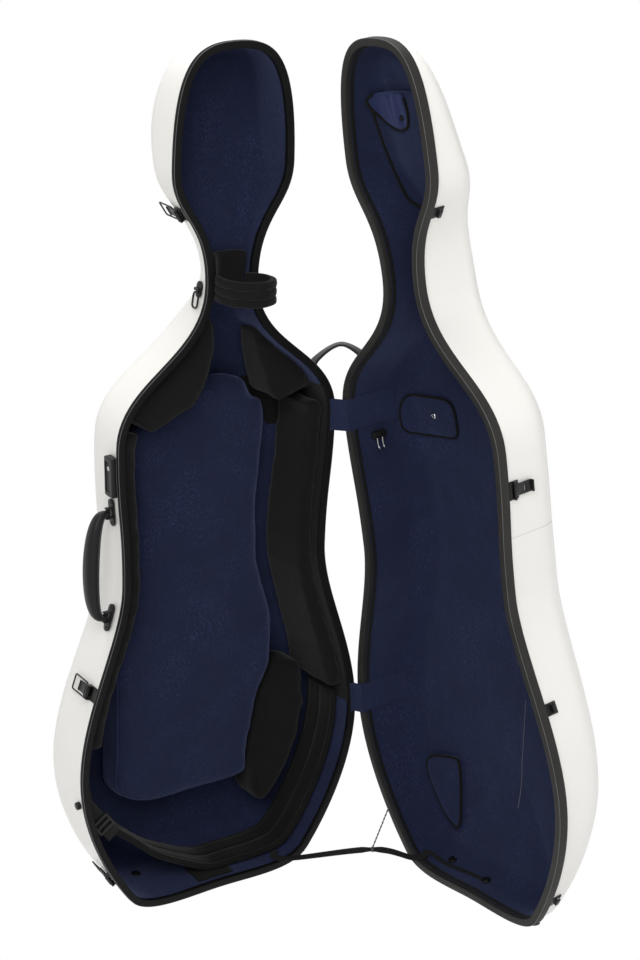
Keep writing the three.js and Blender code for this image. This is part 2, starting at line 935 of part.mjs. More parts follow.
// Wire bail drawn about its own pivot, with its ends turned into the lever's eyes
function latchBail() {
  const half = bailWidth / 2;
  const tip = leverWidth / 2 - leverThickness;
  const far = bailLength - bailBend;
  const arm = (side) => [
    new THREE.Vector3(side * tip, 0, 0),
    new THREE.Vector3(side * (half - bailBend) * bailStraightShare, 0, 0),
    new THREE.Vector3(side * (half - bailBend * bailCornerInShare), 0, bailBend * bailCornerAlongShare),
    new THREE.Vector3(side * half, 0, bailBend),
    new THREE.Vector3(side * half, 0, far - bailBend),
    new THREE.Vector3(side * (half - bailBend), 0, far),
  ];
  return wire([...arm(-1), ...arm(1).reverse()], bailWireRadius, bailSteps);
}

function addLatch(place, height, side) {
  const station = stationAt(height, side);
  const middle = latchPlateStart + latchPlateLength / 2;
  const frame = wallPlace(station, "base", middle, wallLift(height, side, latchWidth / 2));
  const pivotZ = latchPlateLength / 2 - latchPivotBack;
  addPart(`latch_${place}_plate`, latchPlate(), "blackMetal", base, frame);
  const pivot = frame.clone().multiply(moved(0, latchPivotRise, pivotZ));
  addPart(`latch_${place}_lever`, latchLever(), "blackMetal", base, pivot);
  const eyeDrop = bailEyeRadius - latchPinRadius - leverThickness;
  const bailAt = pivot.clone().multiply(moved(0, eyeDrop, bailPivotAlong));
  addPart(`latch_${place}_bail`, latchBail(), "blackMetal", base, bailAt);
}

// Hook on the lid that a bail draws on
function catchGeometry() {
  const plate = boxAt(
    [catchWidth, catchPlateThickness, catchPlateLength],
    [0, catchPlateThickness / 2, 0],
  );
  const rise = boxAt(
    [catchHookWidth, catchHookRise, catchHookThickness],
    [0, catchHookRise / 2, 0],
  );
  const lip = boxAt(
    [catchHookWidth, catchHookThickness, catchHookLip + catchHookThickness],
    [0, catchHookRise, catchHookLip / 2],
  );
  return join(plate, rise, lip);
}

function addCatch(place, height, side) {
  const depth = lidBandDepth + seatGap + catchPlateLength / 2;
  const lift = wallLift(height, side, catchWidth / 2);
  const frame = wallPlace(stationAt(height, side), "lid", depth, lift);
  addPart(`catch_${place}`, catchGeometry(), "blackMetal", lid, frame);
}

// Lock and hasp

function lockGeometry() {
  const shape = roundedRectangle(lockLength, lockDepth, lockRounding);
  const body = new THREE.ExtrudeGeometry(shape, {
    depth: lockThickness - lockRounding,
    curveSegments: lockArcSteps,
    bevelSize: lockRounding / 2,
    bevelThickness: lockRounding / 2,
    bevelSegments: 1,
  });
  body.rotateX(-Math.PI / 2).translate(0, lockRounding / 2, 0);
  const sunkAt = [0, lockThickness, lockDepth / 2 - lockFaceWidth / 2 - lockRounding];
  const recess = boxAt([lockFaceLength, 2 * lockFaceSunk, lockFaceWidth], sunkAt);
  return cut(body, recess);
}

function roundedRectangle(width, height, radius) {
  const x = width / 2 - radius;
  const y = height / 2 - radius;
  const shape = new THREE.Shape();
  shape.absarc(x, y, radius, 0, Math.PI / 2, false);
  shape.absarc(-x, y, radius, Math.PI / 2, Math.PI, false);
  shape.absarc(-x, -y, radius, Math.PI, 1.5 * Math.PI, false);
  shape.absarc(x, -y, radius, 1.5 * Math.PI, 2 * Math.PI, false);
  return shape;
}

function haspPlate() {
  const plate = boxAt([haspWidth, catchPlateThickness, haspPlateLength], [0, catchPlateThickness / 2, 0]);
  const earThickness = (haspWidth - haspArmWidth) / 2 - seatGap;
  const earX = haspWidth / 2 - earThickness / 2;
  const ears = [-earX, earX].map((x) =>
    join(
      rod(haspBarrelRadius, earThickness).rotateZ(Math.PI / 2).translate(x, haspPivotRise, 0),
      boxAt([earThickness, haspPivotRise, 2 * haspBarrelRadius], [x, haspPivotRise / 2, 0]),
    ),
  );
  const pin = rod(haspPinRadius, haspWidth - earThickness).rotateZ(Math.PI / 2);
  return join(plate, ...ears, pin.translate(0, haspPivotRise, 0));
}

// Hasp arm drawn about its pivot, folded back away from the parting plane
function haspArm() {
  const low = -haspBarrelRadius;
  const barrel = rod(haspBarrelRadius, haspArmWidth).rotateZ(Math.PI / 2);
  const arm = boxAt(
    [haspArmWidth, haspArmThickness, haspArmLength],
    [0, low + haspArmThickness / 2, haspArmLength / 2],
  );
  const tab = boxAt(
    [haspArmWidth, haspTabRise, haspArmThickness],
    [0, low + haspTabRise / 2, haspArmLength],
  );
  const slot = boxAt([haspSlotLength, 4 * haspArmThickness, haspSlotWidth], [0, low, haspSlotPlace]);
  const bore = rod(haspPinRadius + seatGap, 2 * haspArmWidth).rotateZ(Math.PI / 2);
  return cut(join(barrel, arm, tab), slot, bore);
}

function addLockAndHasp() {
  const lockLift = wallLift(lockHeight, sides.open, lockLength / 2);
  const lockMiddle = lockStart + lockDepth / 2;
  const lockFrame = wallPlace(stationAt(lockHeight, sides.open), "base", lockMiddle, lockLift);
  addPart("lock_body", lockGeometry(), "blackMetal", base, lockFrame);
  const depth = haspPlateStart + haspPlateLength / 2;
  const lift = wallLift(haspHeight, sides.open, haspWidth / 2);
  const frame = wallPlace(stationAt(haspHeight, sides.open), "lid", depth, lift);
  addPart("hasp_plate", haspPlate(), "blackMetal", lid, frame);
  const pivot = frame.clone().multiply(moved(0, haspPivotRise, 0));
  addPart("hasp_arm", haspArm(), "blackMetal", lid, pivot);
}

// Carry handle: a padded grip that swings on two pinned brackets

function bracketGeometry(plateToPin) {
  const shape = roundedRectangle(bracketLength, bracketWidth, bracketWidth / 2 - seatGap);
  const plate = prism(shape, bracketThickness).rotateX(-Math.PI / 2).applyMatrix4(plateToPin);
  const top = 2 * bracketPinRadius;
  const earX = bracketEarGap / 2 + bracketEarThickness / 2;
  const earSize = [bracketEarThickness, handlePivotRise + top, 2 * top];
  const ears = [-earX, earX].map((x) => boxAt(earSize, [x, (top - handlePivotRise) / 2, 0]));
  const pin = rod(bracketPinRadius, bracketEarGap + bracketEarThickness).rotateZ(Math.PI / 2);
  return join(plate, ...ears, pin);
}

// Local x runs along the swing axis between the two pivots, y out of the wall
function handleGeometry(span) {
  const half = span / 2;
  const rings = [];
  for (let k = 0; k <= gripSteps; k++) {
    const turnHere = (Math.PI * k) / gripSteps;
    const arch = Math.sin(turnHere);
    const swell = arch ** handleSwellPower;
    const x = -half * Math.cos(turnHere) * (1 + handleBulgeShare * swell);
    const y = handleStandOff * arch ** handleRisePower;
    const tangent = Math.atan2(handleStandOff * Math.cos(turnHere), half * arch + handleEndThickness);
    const wide = THREE.MathUtils.lerp(handleEndWidth, handleGripWidth, swell) / 2;
    const thick = THREE.MathUtils.lerp(handleEndThickness, handleGripThickness, swell) / 2;
    const ring = [];
    for (let a = 0; a < gripSides; a++) {
      const turn = (2 * Math.PI * a) / gripSides;
      const across = thick * Math.cos(turn);
      ring.push(
        new THREE.Vector3(
          x - across * Math.sin(tangent),
          y + across * Math.cos(tangent),
          wide * Math.sin(turn),
        ),
      );
    }
    rings.push(ring);
  }
  const grip = loft(rings, { capped: true });
  const atEnds = (radius, length, sidesRound) =>
    [-half, half].map((x) => rod(radius, length, sidesRound).rotateZ(Math.PI / 2).translate(x, 0, 0));
  const eyes = atEnds(handleEyeRadius, bracketEarGap - 2 * seatGap, eyeSides);
  const bores = atEnds(bracketPinRadius + seatGap, 2 * bracketEarGap, pinSides);
  return cut(join(grip, ...eyes), ...bores);
}

// Each bracket lies on its own stretch of wall, with its pin on the handle's straight swing line
function addCarryHandle() {
  const pinPoint = (height) => {
    const frame = bracketFrame(height);
    return new THREE.Vector3(0, handlePivotRise, 0).applyMatrix4(frame);
  };
  const heightsOfPins = [handleMiddleHeight - handleSpan / 2, handleMiddleHeight + handleSpan / 2];
  const [low, high] = heightsOfPins.map(pinPoint);
  const across = low.clone().sub(high).normalize();
  const out = stationAt(handleMiddleHeight, sides.open).normal.clone();
  out.addScaledVector(across, -out.dot(across)).normalize();
  const middle = low.clone().lerp(high, 0.5);
  const swing = new THREE.Matrix4().makeBasis(across, out, across.clone().cross(out)).setPosition(middle);
  const span = low.distanceTo(high);
  heightsOfPins.forEach((height, k) => {
    const pinToBase = swing.clone().multiply(moved(span / 2 - k * span, 0, 0));
    const plateToPin = pinToBase.clone().invert().multiply(bracketFrame(height));
    const name = k ? "upper" : "lower";
    addPart(`handle_bracket_${name}`, bracketGeometry(plateToPin), "blackMetal", base, pinToBase);
  });
  addPart("carry_handle", handleGeometry(span), "handle", base, swing);
}

function bracketFrame(height) {
  const lift = wallLift(height, sides.open, bracketLength / 2) + bracketLift;
  return wallPlace(stationAt(height, sides.open), "base", handleDepth, lift);
}

// Ring and stud for a carrying strap

function strapPlateGeometry() {
  const shape = roundedRectangle(strapPlateWidth, strapPlateLength, strapPlateWidth / 2 - seatGap);
  const plate = prism(shape, strapPlateThickness, smallArcSteps).rotateX(-Math.PI / 2);
  const earX = (strapBarrelLength + strapRingWire) / 2 + seatGap;
  const earTall = strapPostRise + strapBarrelRadius;
  const earSize = [strapRingWire, earTall, 2 * strapBarrelRadius];
  const ears = [-earX, earX].map((x) => boxAt(earSize, [x, earTall / 2, 0]));
  const pin = rod(strapPinRadius, 2 * earX).rotateZ(Math.PI / 2);
  return join(plate, ...ears, pin.translate(0, strapPostRise, 0));
}

// Ring drawn about its pin: local x along the pin, the loop reaching along z
function ringGeometry() {
  const loop = roundedRectangle(strapRingWidth, strapRingLength, strapRingWidth / 2 - seatGap);
  const gap = roundedRectangle(
    strapRingWidth - 2 * strapRingWire,
    strapRingLength - 2 * strapRingWire,
    strapRingWidth / 2 - seatGap - strapRingWire,
  );
  loop.holes.push(new THREE.Path(gap.getPoints(smallArcSteps).reverse()));
  const body = prism(loop, strapRingWire, smallArcSteps);
  const neck = strapBarrelRadius + 2 * seatGap;
  body.rotateX(-Math.PI / 2).translate(0, -strapRingWire / 2, strapRingLength / 2 + neck);
  const tongueReach = neck + strapRingWire;
  const tongue = boxAt([strapBarrelLength, strapRingWire, tongueReach], [0, 0, tongueReach / 2]);
  const barrel = join(rod(strapBarrelRadius, strapBarrelLength).rotateZ(Math.PI / 2), tongue);
  const bore = rod(strapPinRadius + seatGap, 2 * strapBarrelLength).rotateZ(Math.PI / 2);
  return cut(join(body, barrel), bore);
}

function addStrapFittings() {
  const lift = wallLift(strapRingHeight, sides.open, strapPlateLength / 2);
  const frame = wallPlace(stationAt(strapRingHeight, sides.open), "base", strapRingDepth, lift);
  frame.multiply(new THREE.Matrix4().makeRotationY(Math.PI / 2));
  addPart("strap_plate", strapPlateGeometry(), "blackMetal", base, frame);
  const ringAt = frame.clone().multiply(moved(0, strapPostRise, 0));
  addPart("strap_ring", ringGeometry(), "blackMetal", base, ringAt);
  const stud = rod(strapStudRadius, strapStudRise, footSides).translate(0, strapStudRise / 2, 0);
  const studLift = wallLift(strapStudHeight, sides.open, strapStudRadius);
  const studAt = wallPlace(stationAt(strapStudHeight, sides.open), "base", strapStudDepth, studLift);
  addPart("strap_stud", stud, "rubber", base, studAt);
}

// Hinges

function hingePoint(height, standOff) {
  const station = stationAt(height, sides.hinge);
  return station.origin.clone().setX(station.origin.x + standOff);
}

const hingeLow = hingePoint(lowerHingeHeight, lowerHingeStandOff);
const hingeHigh = hingePoint(upperHingeHeight, upperHingeStandOff);
const hingeAxis = hingeHigh.clone().sub(hingeLow).normalize();

// Local z runs along the axis, x away from the case and y into the base
function hingePlace(centre) {
  const deep = new THREE.Vector3(0, 1, 0);
  const out = new THREE.Vector3().crossVectors(deep, hingeAxis).normalize();
  return new THREE.Matrix4().makeBasis(out, deep, hingeAxis).setPosition(centre);
}

// The closed outline as a block that reaches past the rims, to cut a leaf that seats on them
function rimSolid(grow) {
  const ring = (depth) => stations.map((s) => insetPoint(s, -grow, depth));
  return solidOf(loft([ring(-lidBandDepth - grow), ring(baseBandDepth + grow)], { capped: true }));
}

// One leaf with its share of the knuckles, packed out to the rim and the wall behind it
function hingeLeaf(half, odd, standOff, place) {
  const way = halves[half];
  const pitch = hingeLength / knuckleCount;
  const bend = barrelRadius + hingeRunningGap;
  const packing = standOff + rimWall + leafThickness;
  const block = boxAt([packing, leafReach, hingeLength], [leafThickness - barrelRadius - packing / 2, 0, 0]);
  block.translate(0, way * (leafReach / 2 + bend), 0);
  const knuckles = [];
  for (let k = odd; k < knuckleCount; k += 2) {
    const z = k * pitch + (pitch - hingeLength) / 2;
    const long = pitch - 2 * hingeRunningGap;
    const web = boxAt([leafThickness, bend + leafThickness, long], [leafThickness / 2 - barrelRadius, 0, z]);
    web.translate(0, (way * (bend + leafThickness)) / 2, 0);
    knuckles.push(rod(barrelRadius, long, barrelSides).rotateX(Math.PI / 2).translate(0, 0, z), web);
  }
  const back = place.clone().invert();
  const seats = [rimSolid(seatGap), envelopeSolid(half, -seatGap, faceGap)];
  const placed = solidOf(block.applyMatrix4(place));
  const leaf = largestBody(seats.reduce((a, b) => a.subtract(b), placed)).applyMatrix4(back);
  const joined = join(leaf, ...knuckles);
  const pinRadius = odd ? hingePinRadius + hingeRunningGap : hingePinRadius;
  const pin = rod(pinRadius, hingeLength).rotateX(Math.PI / 2);
  return odd ? cut(joined, pin) : join(joined, pin);
}

function addHinges() {
  const hinges = [["lower", hingeLow, lowerHingeStandOff], ["upper", hingeHigh, upperHingeStandOff]];
  for (const [name, centre, standOff] of hinges) {
    const place = hingePlace(centre);
    addPart(`hinge_${name}_base`, hingeLeaf("base", 0, standOff, place), "steel", base, place);
    addPart(`hinge_${name}_lid`, hingeLeaf("lid", 1, standOff, place), "steel", lid, place);
  }
}

// Turns the lid's own directions about the hinge line to where it stands open
function lidMatrix() {
  const turn = new THREE.Matrix4().makeRotationAxis(hingeAxis, openAngle);
  const out = moved(...hingeLow.toArray());
  return out.clone().multiply(turn).multiply(out.invert());
}

const lidTurn = lidMatrix();

// Flat strip along a run of points, its width turned each way it is given
function strip(points, widthWays, width, thickness) {
  const rings = points.map((p, k) => {
    const before = points[Math.max(k - 1, 0)];
    const after = points[Math.min(k + 1, points.length - 1)];
    const along = after.clone().sub(before).normalize();
    const wide = widthWays[k].clone();
    wide.addScaledVector(along, -wide.dot(along)).normalize();
    const thick = new THREE.Vector3().crossVectors(along, wide);
    return [[-1, -1], [1, -1], [1, 1], [-1, 1]].map(([a, b]) =>
      p.clone().addScaledVector(wide, (a * width) / 2).addScaledVector(thick, (b * thickness) / 2),
    );
  });
  return loft(rings, { capped: true });
}

// Rear handle: a flat strap that rises from the base's wall and comes down on the lid's
function addRearHandle() {
  const station = stationAt(rearHandleHeight, sides.hinge);
  const lift = wallLift(rearHandleHeight, sides.hinge, 2 * rearHandleFoot) + 2 * seatGap;
  const baseFrame = wallPlace(station, "base", rearHandleBaseDepth, lift);
  const lidFrame = lidTurn.clone().multiply(wallPlace(station, "lid", rearHandleLidDepth, lift));
  const inFrame = (frame, out, up) => {
    const rising = Math.sign(frame.elements[2]);
    return new THREE.Vector3(rising * up, rearHandleThickness / 2 + out, 0).applyMatrix4(frame);
  };
  const peakX = station.origin.x + rearHandlePeakOut;
  const peakHeight = rearHandleHeight + rearHandlePeakRise;
  const peak = new THREE.Vector3(peakX, rearHandlePeakDepth, peakHeight);
  const curve = new THREE.CatmullRomCurve3([
    inFrame(baseFrame, 0, -rearHandleFoot),
    inFrame(baseFrame, rearHandleFootRise, rearHandleFootRun),
    inFrame(baseFrame, rearHandleRise, rearHandleRun),
    peak,
    inFrame(lidFrame, rearHandleRise, rearHandleRun),
    inFrame(lidFrame, rearHandleFootRise, rearHandleFootRun),
    inFrame(lidFrame, 0, -rearHandleFoot),
  ]);
  const points = curve.getSpacedPoints(rearHandleSteps);
  const across = points[rearHandleSteps].clone().sub(points[0]).setZ(0).normalize();
  const ways = [
    new THREE.Vector3().setFromMatrixColumn(baseFrame, 2),
    new THREE.Vector3(-across.y, across.x, 0),
    new THREE.Vector3().setFromMatrixColumn(lidFrame, 2),
  ];
  const wide = points.map((p, k) => {
    const share = (2 * k) / rearHandleSteps;
    return share < 1 ? ways[0].clone().lerp(ways[1], share) : ways[1].clone().lerp(ways[2], share - 1);
  });
  addPart("rear_handle", strip(points, wide, rearHandleWidth, rearHandleThickness), "handle", base);
}

// Heights of a side's stations within a stretch, with the stretch's own ends
function heightsWithin(low, high, side) {
  const inside = rows[side].map((s) => s.origin.z).filter((z) => z > low && z < high);
  return [low, ...inside, high];
}

// Upright block with a given outline, from a front face through to the lining
function paddedBlock(corners, side, half, frontAt, offset = padOffset) {
  const way = halves[half];
  const deepest = Math.max(baseDepthAtEnd, lidDepthAtWaist) + panelCrown;
  const ring = (place) => corners.map(([across, z]) => new THREE.Vector3(side * across, way * place(z), z));
  const block = loft([ring(frontAt), ring(() => deepest)], { capped: true });
  return keepWithin(block, half, offset);
}

function addWallPads() {
  for (const [name, side] of Object.entries(sides)) {
    const reach = shellInset + padOffset;
    const rings = heightsWithin(sidePadBottom, sidePadTop, side).map((height) => {
      const station = stationAt(height, side);
      return [
        [shellInset, sidePadFront],
        [reach + sidePadThickness, sidePadFront],
        [reach + sidePadThickness + sidePadSlope, baseDepthAtEnd],
        [shellInset, baseDepthAtEnd],
      ].map(([inset, y]) => insetPoint(station, inset, y));
    });
    const block = loft(rings, { capped: true });
    addPart(`side_pad_${name}`, keepWithin(block, "base", padOffset), "foam", base);
    const corners = side === sides.open ? shoulderPadOpen : shoulderPadHinge;
    const outer = [[upperBoutHalf, cradleBottom - seatGap - padOffset / 2]];
    const shoulder = paddedBlock([...corners, ...outer], side, "base", () => shoulderPadFront);
    addPart(`shoulder_pad_${name}`, shoulder, "foam", base);
  }
  const lower = paddedBlock(lowerPadCorners, sides.hinge, "base", () => lowerPadFront);
  addPart("lower_pad_hinge", lower, "foam", base);
}

// The raised back cushion: crowned, its edge drawn in, notched round the pads that it meets
function addCushion() {
  const heights = cushionHeightShares.map((share) => THREE.MathUtils.lerp(cushionBottom, cushionTop, share));
  const ring = (inset, y) =>
    [sides.hinge, sides.open].flatMap((side) => {
      const row = heights.map((height) => {
        const below = (height - cushionBottom) / cushionBottomRun;
        const above = (cushionTop - height) / cushionTopRun;
        const filled = Math.min(1, THREE.MathUtils.lerp(cushionEndShare, 1, Math.min(below, above)));
        const round = Math.sqrt(1 - (1 - filled) ** 2);
        const wall = Math.abs(stationAt(height, side).origin.x) - cushionSideInset;
        const half = Math.min(wall, cushionMostHalf) * round - inset;
        const level = THREE.MathUtils.clamp(height, cushionBottom + inset, cushionTop - inset);
        return new THREE.Vector3(side * half, y, level);
      });
      return side === sides.hinge ? row : row.reverse();
    });
  const back = ring(0, baseDepthAtEnd + panelCrown);
  const edge = ring(0, cushionFront + cushionEdgeFall);
  const shoulderFront = cushionFront + cushionEdgeFall * cushionFallShare;
  const shoulder = ring(cushionShoulderRun * cushionRunShare, shoulderFront);
  const top = ring(cushionShoulderRun * 2, cushionFront);
  const spine = top.map((p) => new THREE.Vector3(0, cushionFront - cushionCrown, p.z));
  const backSpine = back.map((p) => new THREE.Vector3(0, p.y, p.z));
  const body = loft([spine, top, shoulder, edge, back, backSpine]);
  const kept = solidOf(keepWithin(body, "base", padOffset));
  const notches = [
    notchBeside(shoulderPadOpen.slice(0, shoulderPadInnerCorners), sides.open),
    notchBeside(shoulderPadHinge.slice(0, shoulderPadInnerCorners), sides.hinge),
    notchBeside(lowerPadCorners.slice(0, lowerPadInnerCorners), sides.hinge),
  ];
  addPart("back_cushion", largestBody(notches.reduce((a, b) => a.subtract(b), kept)), "plush", base);
}

// Everything that lies further out than a pad's inner edge, with a gap
function notchBeside(edge, side) {
  const gap = 2 * seatGap;
  const inner = edge.map(([across, z]) => [across - gap, z]);
  const first = inner[0];
  const last = inner[inner.length - 1];
  const far = lowerBoutHalf;
  const corners = [[first[0], first[1] + gap], ...inner.slice(1, -1), [last[0], last[1] - gap]];
  const outline = [...corners, [far, last[1] - gap], [far, first[1] + gap]];
  const ring = (y) => outline.map(([across, z]) => new THREE.Vector3(side * across, y, z));
  return solidOf(loft([ring(seatGap), ring(2 * baseDepthAtEnd)], { capped: true }));
}

// The band leaves the wall over the open side's corner and lies on it everywhere else
function addBand() {
  const wallInset = shellInset + padOffset + draftShare * (bandFront + bandWidth);
  const onWall = (station) => insetPoint(station, wallInset, 0);
  const free = bandLine.map(([across, z]) => new THREE.Vector3(across, 0, z));
  const walled = rows[sides.hinge].filter((s) => s.origin.z < bandTop).map(onWall);
  const [first, last] = [sides.open, sides.hinge].map((side) => onWall(stationAt(bandTop, side)));
  const line = new THREE.CatmullRomCurve3([first, ...free, ...walled, last], false, "centripetal");
  const rings = line.getSpacedPoints(bandSteps).map((point, k) => {
    const along = line.getTangentAt(k / bandSteps);
    const inward = new THREE.Vector3(-along.z, 0, along.x).normalize();
    return [
      [0, bandFront],
      [0, bandFront + bandWidth],
      [bandThickness, bandFront + bandWidth],
      ...bandSwellShares.map((share) => [bandThickness + bandSwell, bandFront + bandWidth * share]),
      [bandThickness, bandFront],
    ].map(([rise, y]) => point.clone().addScaledVector(inward, rise).setY(y));
  });
  const band = keepWithin(loft(rings, { capped: true }), "base", padOffset);
  addPart("suspension_band", band, "webbing", base);
  addBuckle();
}

// Webbing from the wall to the band's front edge, and the slotted buckle that lies on it
function addBuckle() {
  const y = bandFront - seatGap - webbingThickness / 2;
  const [from, to] = [webbingStart, webbingEnd].map(([across, z]) => new THREE.Vector3(across, y, z));
  const along = to.clone().sub(from).normalize();
  const wide = new THREE.Vector3(0, 1, 0).cross(along);
  const webbing = strip([from, to], [wide, wide], webbingWidth, webbingThickness);
  addPart("band_webbing", keepWithin(webbing, "base", padOffset), "webbing", base);
  const slotLength = (buckleLength - 3 * buckleBar) / 2;
  const slotShift = (slotLength + buckleBar) / 2;
  const slotSize = [buckleWidth - 2 * buckleBar, 2 * buckleThickness, slotLength];
  const slots = [-slotShift, slotShift].map((z) => boxAt(slotSize, [0, 0, z]));
  const frame = cut(boxAt([buckleWidth, buckleThickness, buckleLength], [0, 0, 0]), ...slots);
  const centre = from.clone().lerp(to, buckleShare);
  centre.y -= webbingThickness / 2 + seatGap + buckleThickness / 2;
  const matrix = new THREE.Matrix4().makeBasis(wide, along.clone().cross(wide), along);
  addPart("band_buckle", frame, "blackMetal", base, matrix.setPosition(centre));
}

// Notched block under the neck and the padded strap that closes over it
function addNeckRest() {
  const middle = (cradleBottom + cradleTop) / 2;
  const size = [2 * headHalf, baseDepthAtEnd, cradleTop - cradleBottom];
  const block = boxAt(size, [0, cradleFront + baseDepthAtEnd / 2, middle]);
  const notch = rod(cradleNotchRadius, caseLength, notchSides).rotateX(Math.PI / 2);
  notch.translate(0, cradleFront + cradleNotchDepth - cradleNotchRadius, middle);
  addPart("neck_cradle", keepWithin(cut(block, notch), "base", padOffset), "foam", base);
  addPart("neck_strap", neckStrapGeometry(), "foam", base);
}

// The strap's outer face has padded channels along its length
function neckStrapGeometry() {
  const path = new THREE.CatmullRomCurve3(neckStrapPath.map(([x, y]) => new THREE.Vector3(x, y, 0)));
  const edge = neckStrapThickness / 2;
  const rings = [];
  for (let k = 0; k <= strapSteps; k++) {
    const point = path.getPointAt(k / strapSteps);
    const along = path.getTangentAt(k / strapSteps);
    const out = new THREE.Vector3(along.y, -along.x, 0);
    rings.push(
      neckStrapSectionShares.map(([outShare, upShare]) => {
        const reach = outShare < 0 ? edge : -edge + (1 - outShare) * neckStrapChannel;
        const z = neckStrapBottom + neckStrapHeight * upShare;
        return point.clone().addScaledVector(out, reach).setZ(z);
      }),
    );
  }
  return loft(rings, { capped: true });
}

// Feet: upright cylinders in the standing pose, cut where they meet the lower end
function footGeometry(half, centre, radius, turnBack) {
  const stub = rod(radius, footLength, footSides).rotateX(Math.PI / 2).translate(0, 0, footLength / 2);
  stub.applyMatrix4(moved(...centre.toArray()));
  stub.applyMatrix4(turnBack);
  return largestBody(solidOf(stub).subtract(envelopeSolid(half, -seatGap, faceGap)));
}

function addFeet(baseToWorld) {
  const back = baseToWorld.clone().invert();
  const lidToWorld = baseToWorld.clone().multiply(lidTurn);
  const lidBack = lidToWorld.clone().invert();
  const footOn = (half, across, depth, side, toWorld) => {
    const station = stationAcross(across, side);
    return insetPoint(station, shellInset, halves[half] * depth).applyMatrix4(toWorld).setZ(0);
  };
  for (const [name, side] of Object.entries(sides)) {
    const centre = footOn("base", baseFootAcross, baseFootDepth, side, baseToWorld);
    addPart(`base_foot_${name}`, footGeometry("base", centre, footRadius, back), "rubber", base);
  }
  const centre = footOn("lid", lidFootAcross, lidFootDepth, sides.open, lidToWorld);
  addPart("lid_foot_open", footGeometry("lid", centre, lidFootRadius, lidBack), "rubber", lid);
  const spare = footGeometry("lid", centre.setZ(lidFootSpare), lidFootRadius, lidBack);
  addPart("lid_foot_hinge", mirrorAcross(spare), "rubber", lid);
}

function mirrorAcross(geometry) {
  const mirrored = geometry.clone();
  mirrored.scale(-1, 1, 1);
  const index = mirrored.index.array;
  for (let t = 0; t < index.length; t += triangleCorners) {
    [index[t], index[t + 1]] = [index[t + 1], index[t]];
  }
  return mirrored;
}

// Pockets, flap and clip in the lid
function addLidSoftGoods() {
  const face = (rise) => (z) => depthOf.lid(z) - padOffset - rise;
  const pouchBody = paddedBlock(pouchCorners, 1, "lid", face(pouchThickness));
  const flap = paddedBlock(pouchFlapCorners, 1, "lid", face(pouchThickness + pouchFlapThickness));
  addPart("pouch", join(pouchBody, flap), "plush", lid);
  addPart("bow_flap", paddedBlock(bowFlapCorners, 1, "lid", face(bowFlapThickness)), "plush", lid);
  addPart("bow_pocket", paddedBlock(bowPocketCorners, 1, "lid", face(bowPocketThickness)), "plush", lid);
  addBowClip();
}

// Clip on the lid's hinge-side inner wall, and the two-pronged turner that holds a bow stick
function addBowClip() {
  const station = stationAt(bowClipHeight, sides.hinge);
  const onWall = (depth) => insetPoint(station, shellInset + padOffset + draftShare * depth, -depth);
  const foot = onWall(bowClipDepth);
  const deep = onWall(2 * bowClipDepth).sub(foot).normalize();
  const up = station.along.clone().addScaledVector(deep, -station.along.dot(deep)).normalize();
  const out = up.clone().cross(deep);
  if (out.dot(station.normal) > 0) out.negate();
  const side = out.clone().cross(up);
  foot.addScaledVector(out, wallLift(bowClipHeight, sides.hinge, bowClipLength / 2, -1));
  const frame = new THREE.Matrix4().makeBasis(side, out, side.clone().cross(out)).setPosition(foot);
  const plate = boxAt([bowClipLength, bowClipThickness, bowClipWidth], [0, bowClipThickness / 2, 0]);
  const pinLength = bowSpinnerRise + bowSpinnerThickness + bowClipPinRadius;
  const pin = rod(bowClipPinRadius, pinLength).translate(0, pinLength / 2, 0);
  addPart("bow_clip", join(plate, pin), "blackMetal", lid, frame);
  const rise = bowSpinnerRise + bowSpinnerThickness / 2;
  const block = boxAt([bowClipLength, bowSpinnerThickness, bowClipWidth], [0, 0, 0]);
  const prongs = [-1, 1].map((way) => {
    const x = (way * bowProngSpacing) / 2;
    const reach = bowClipWidth / 2 + bowProngReach;
    const path = [
      new THREE.Vector3(x, 0, 0),
      new THREE.Vector3(x, 0, reach * bowProngStraightShare),
      new THREE.Vector3(x, bowProngHook * bowProngHookShare, reach * bowProngBendShare),
      new THREE.Vector3(x, bowProngHook, reach),
    ];
    return wire(path, bowProngRadius, prongSteps);
  });
  const bore = rod(bowClipPinRadius + seatGap, 4 * bowSpinnerThickness);
  const down = frame.clone().multiply(moved(0, rise, 0));
  const pointsUp = new THREE.Vector3().setFromMatrixColumn(frame, 2).z > 0;
  if (pointsUp) down.multiply(new THREE.Matrix4().makeRotationY(Math.PI));
  addPart("bow_spinner", cut(join(block, ...prongs), bore), "steel", lid, down);
}

// Fabric covers: across the gap from the base's rim and along the lid's inner wall
function addHingeCovers() {
  const clear = seatGap + coverThickness / 2;
  for (const [name, middle] of [["lower", lowerHingeHeight], ["upper", upperHingeHeight]]) {
    const low = middle - coverHeight / 2;
    const heights = heightsWithin(low, low + coverHeight, sides.hinge);
    const rings = heights.map((height) => {
      const station = stationAt(height, sides.hinge);
      const inLid = (depth) => {
        const wall = innerInset(station, "lid", liningFace, Math.max(depth, 0));
        return insetPoint(station, Math.max(rimInner, wall) + clear, -depth).applyMatrix4(lidTurn);
      };
      const onBase = (inset) => insetPoint(station, inset, faceGap - clear);
      const depths = [-clear, liningEdge, ...coverReachShares.map((share) => coverReach * share)];
      const baseLine = [onBase(coverBaseReach), onBase(coverBaseReach * coverBaseShare)];
      return offsetBand([...baseLine, ...depths.map(inLid)], coverThickness);
    });
    addPart(`hinge_cover_${name}`, loft(rings, { capped: true }), "plush", base);
  }
}

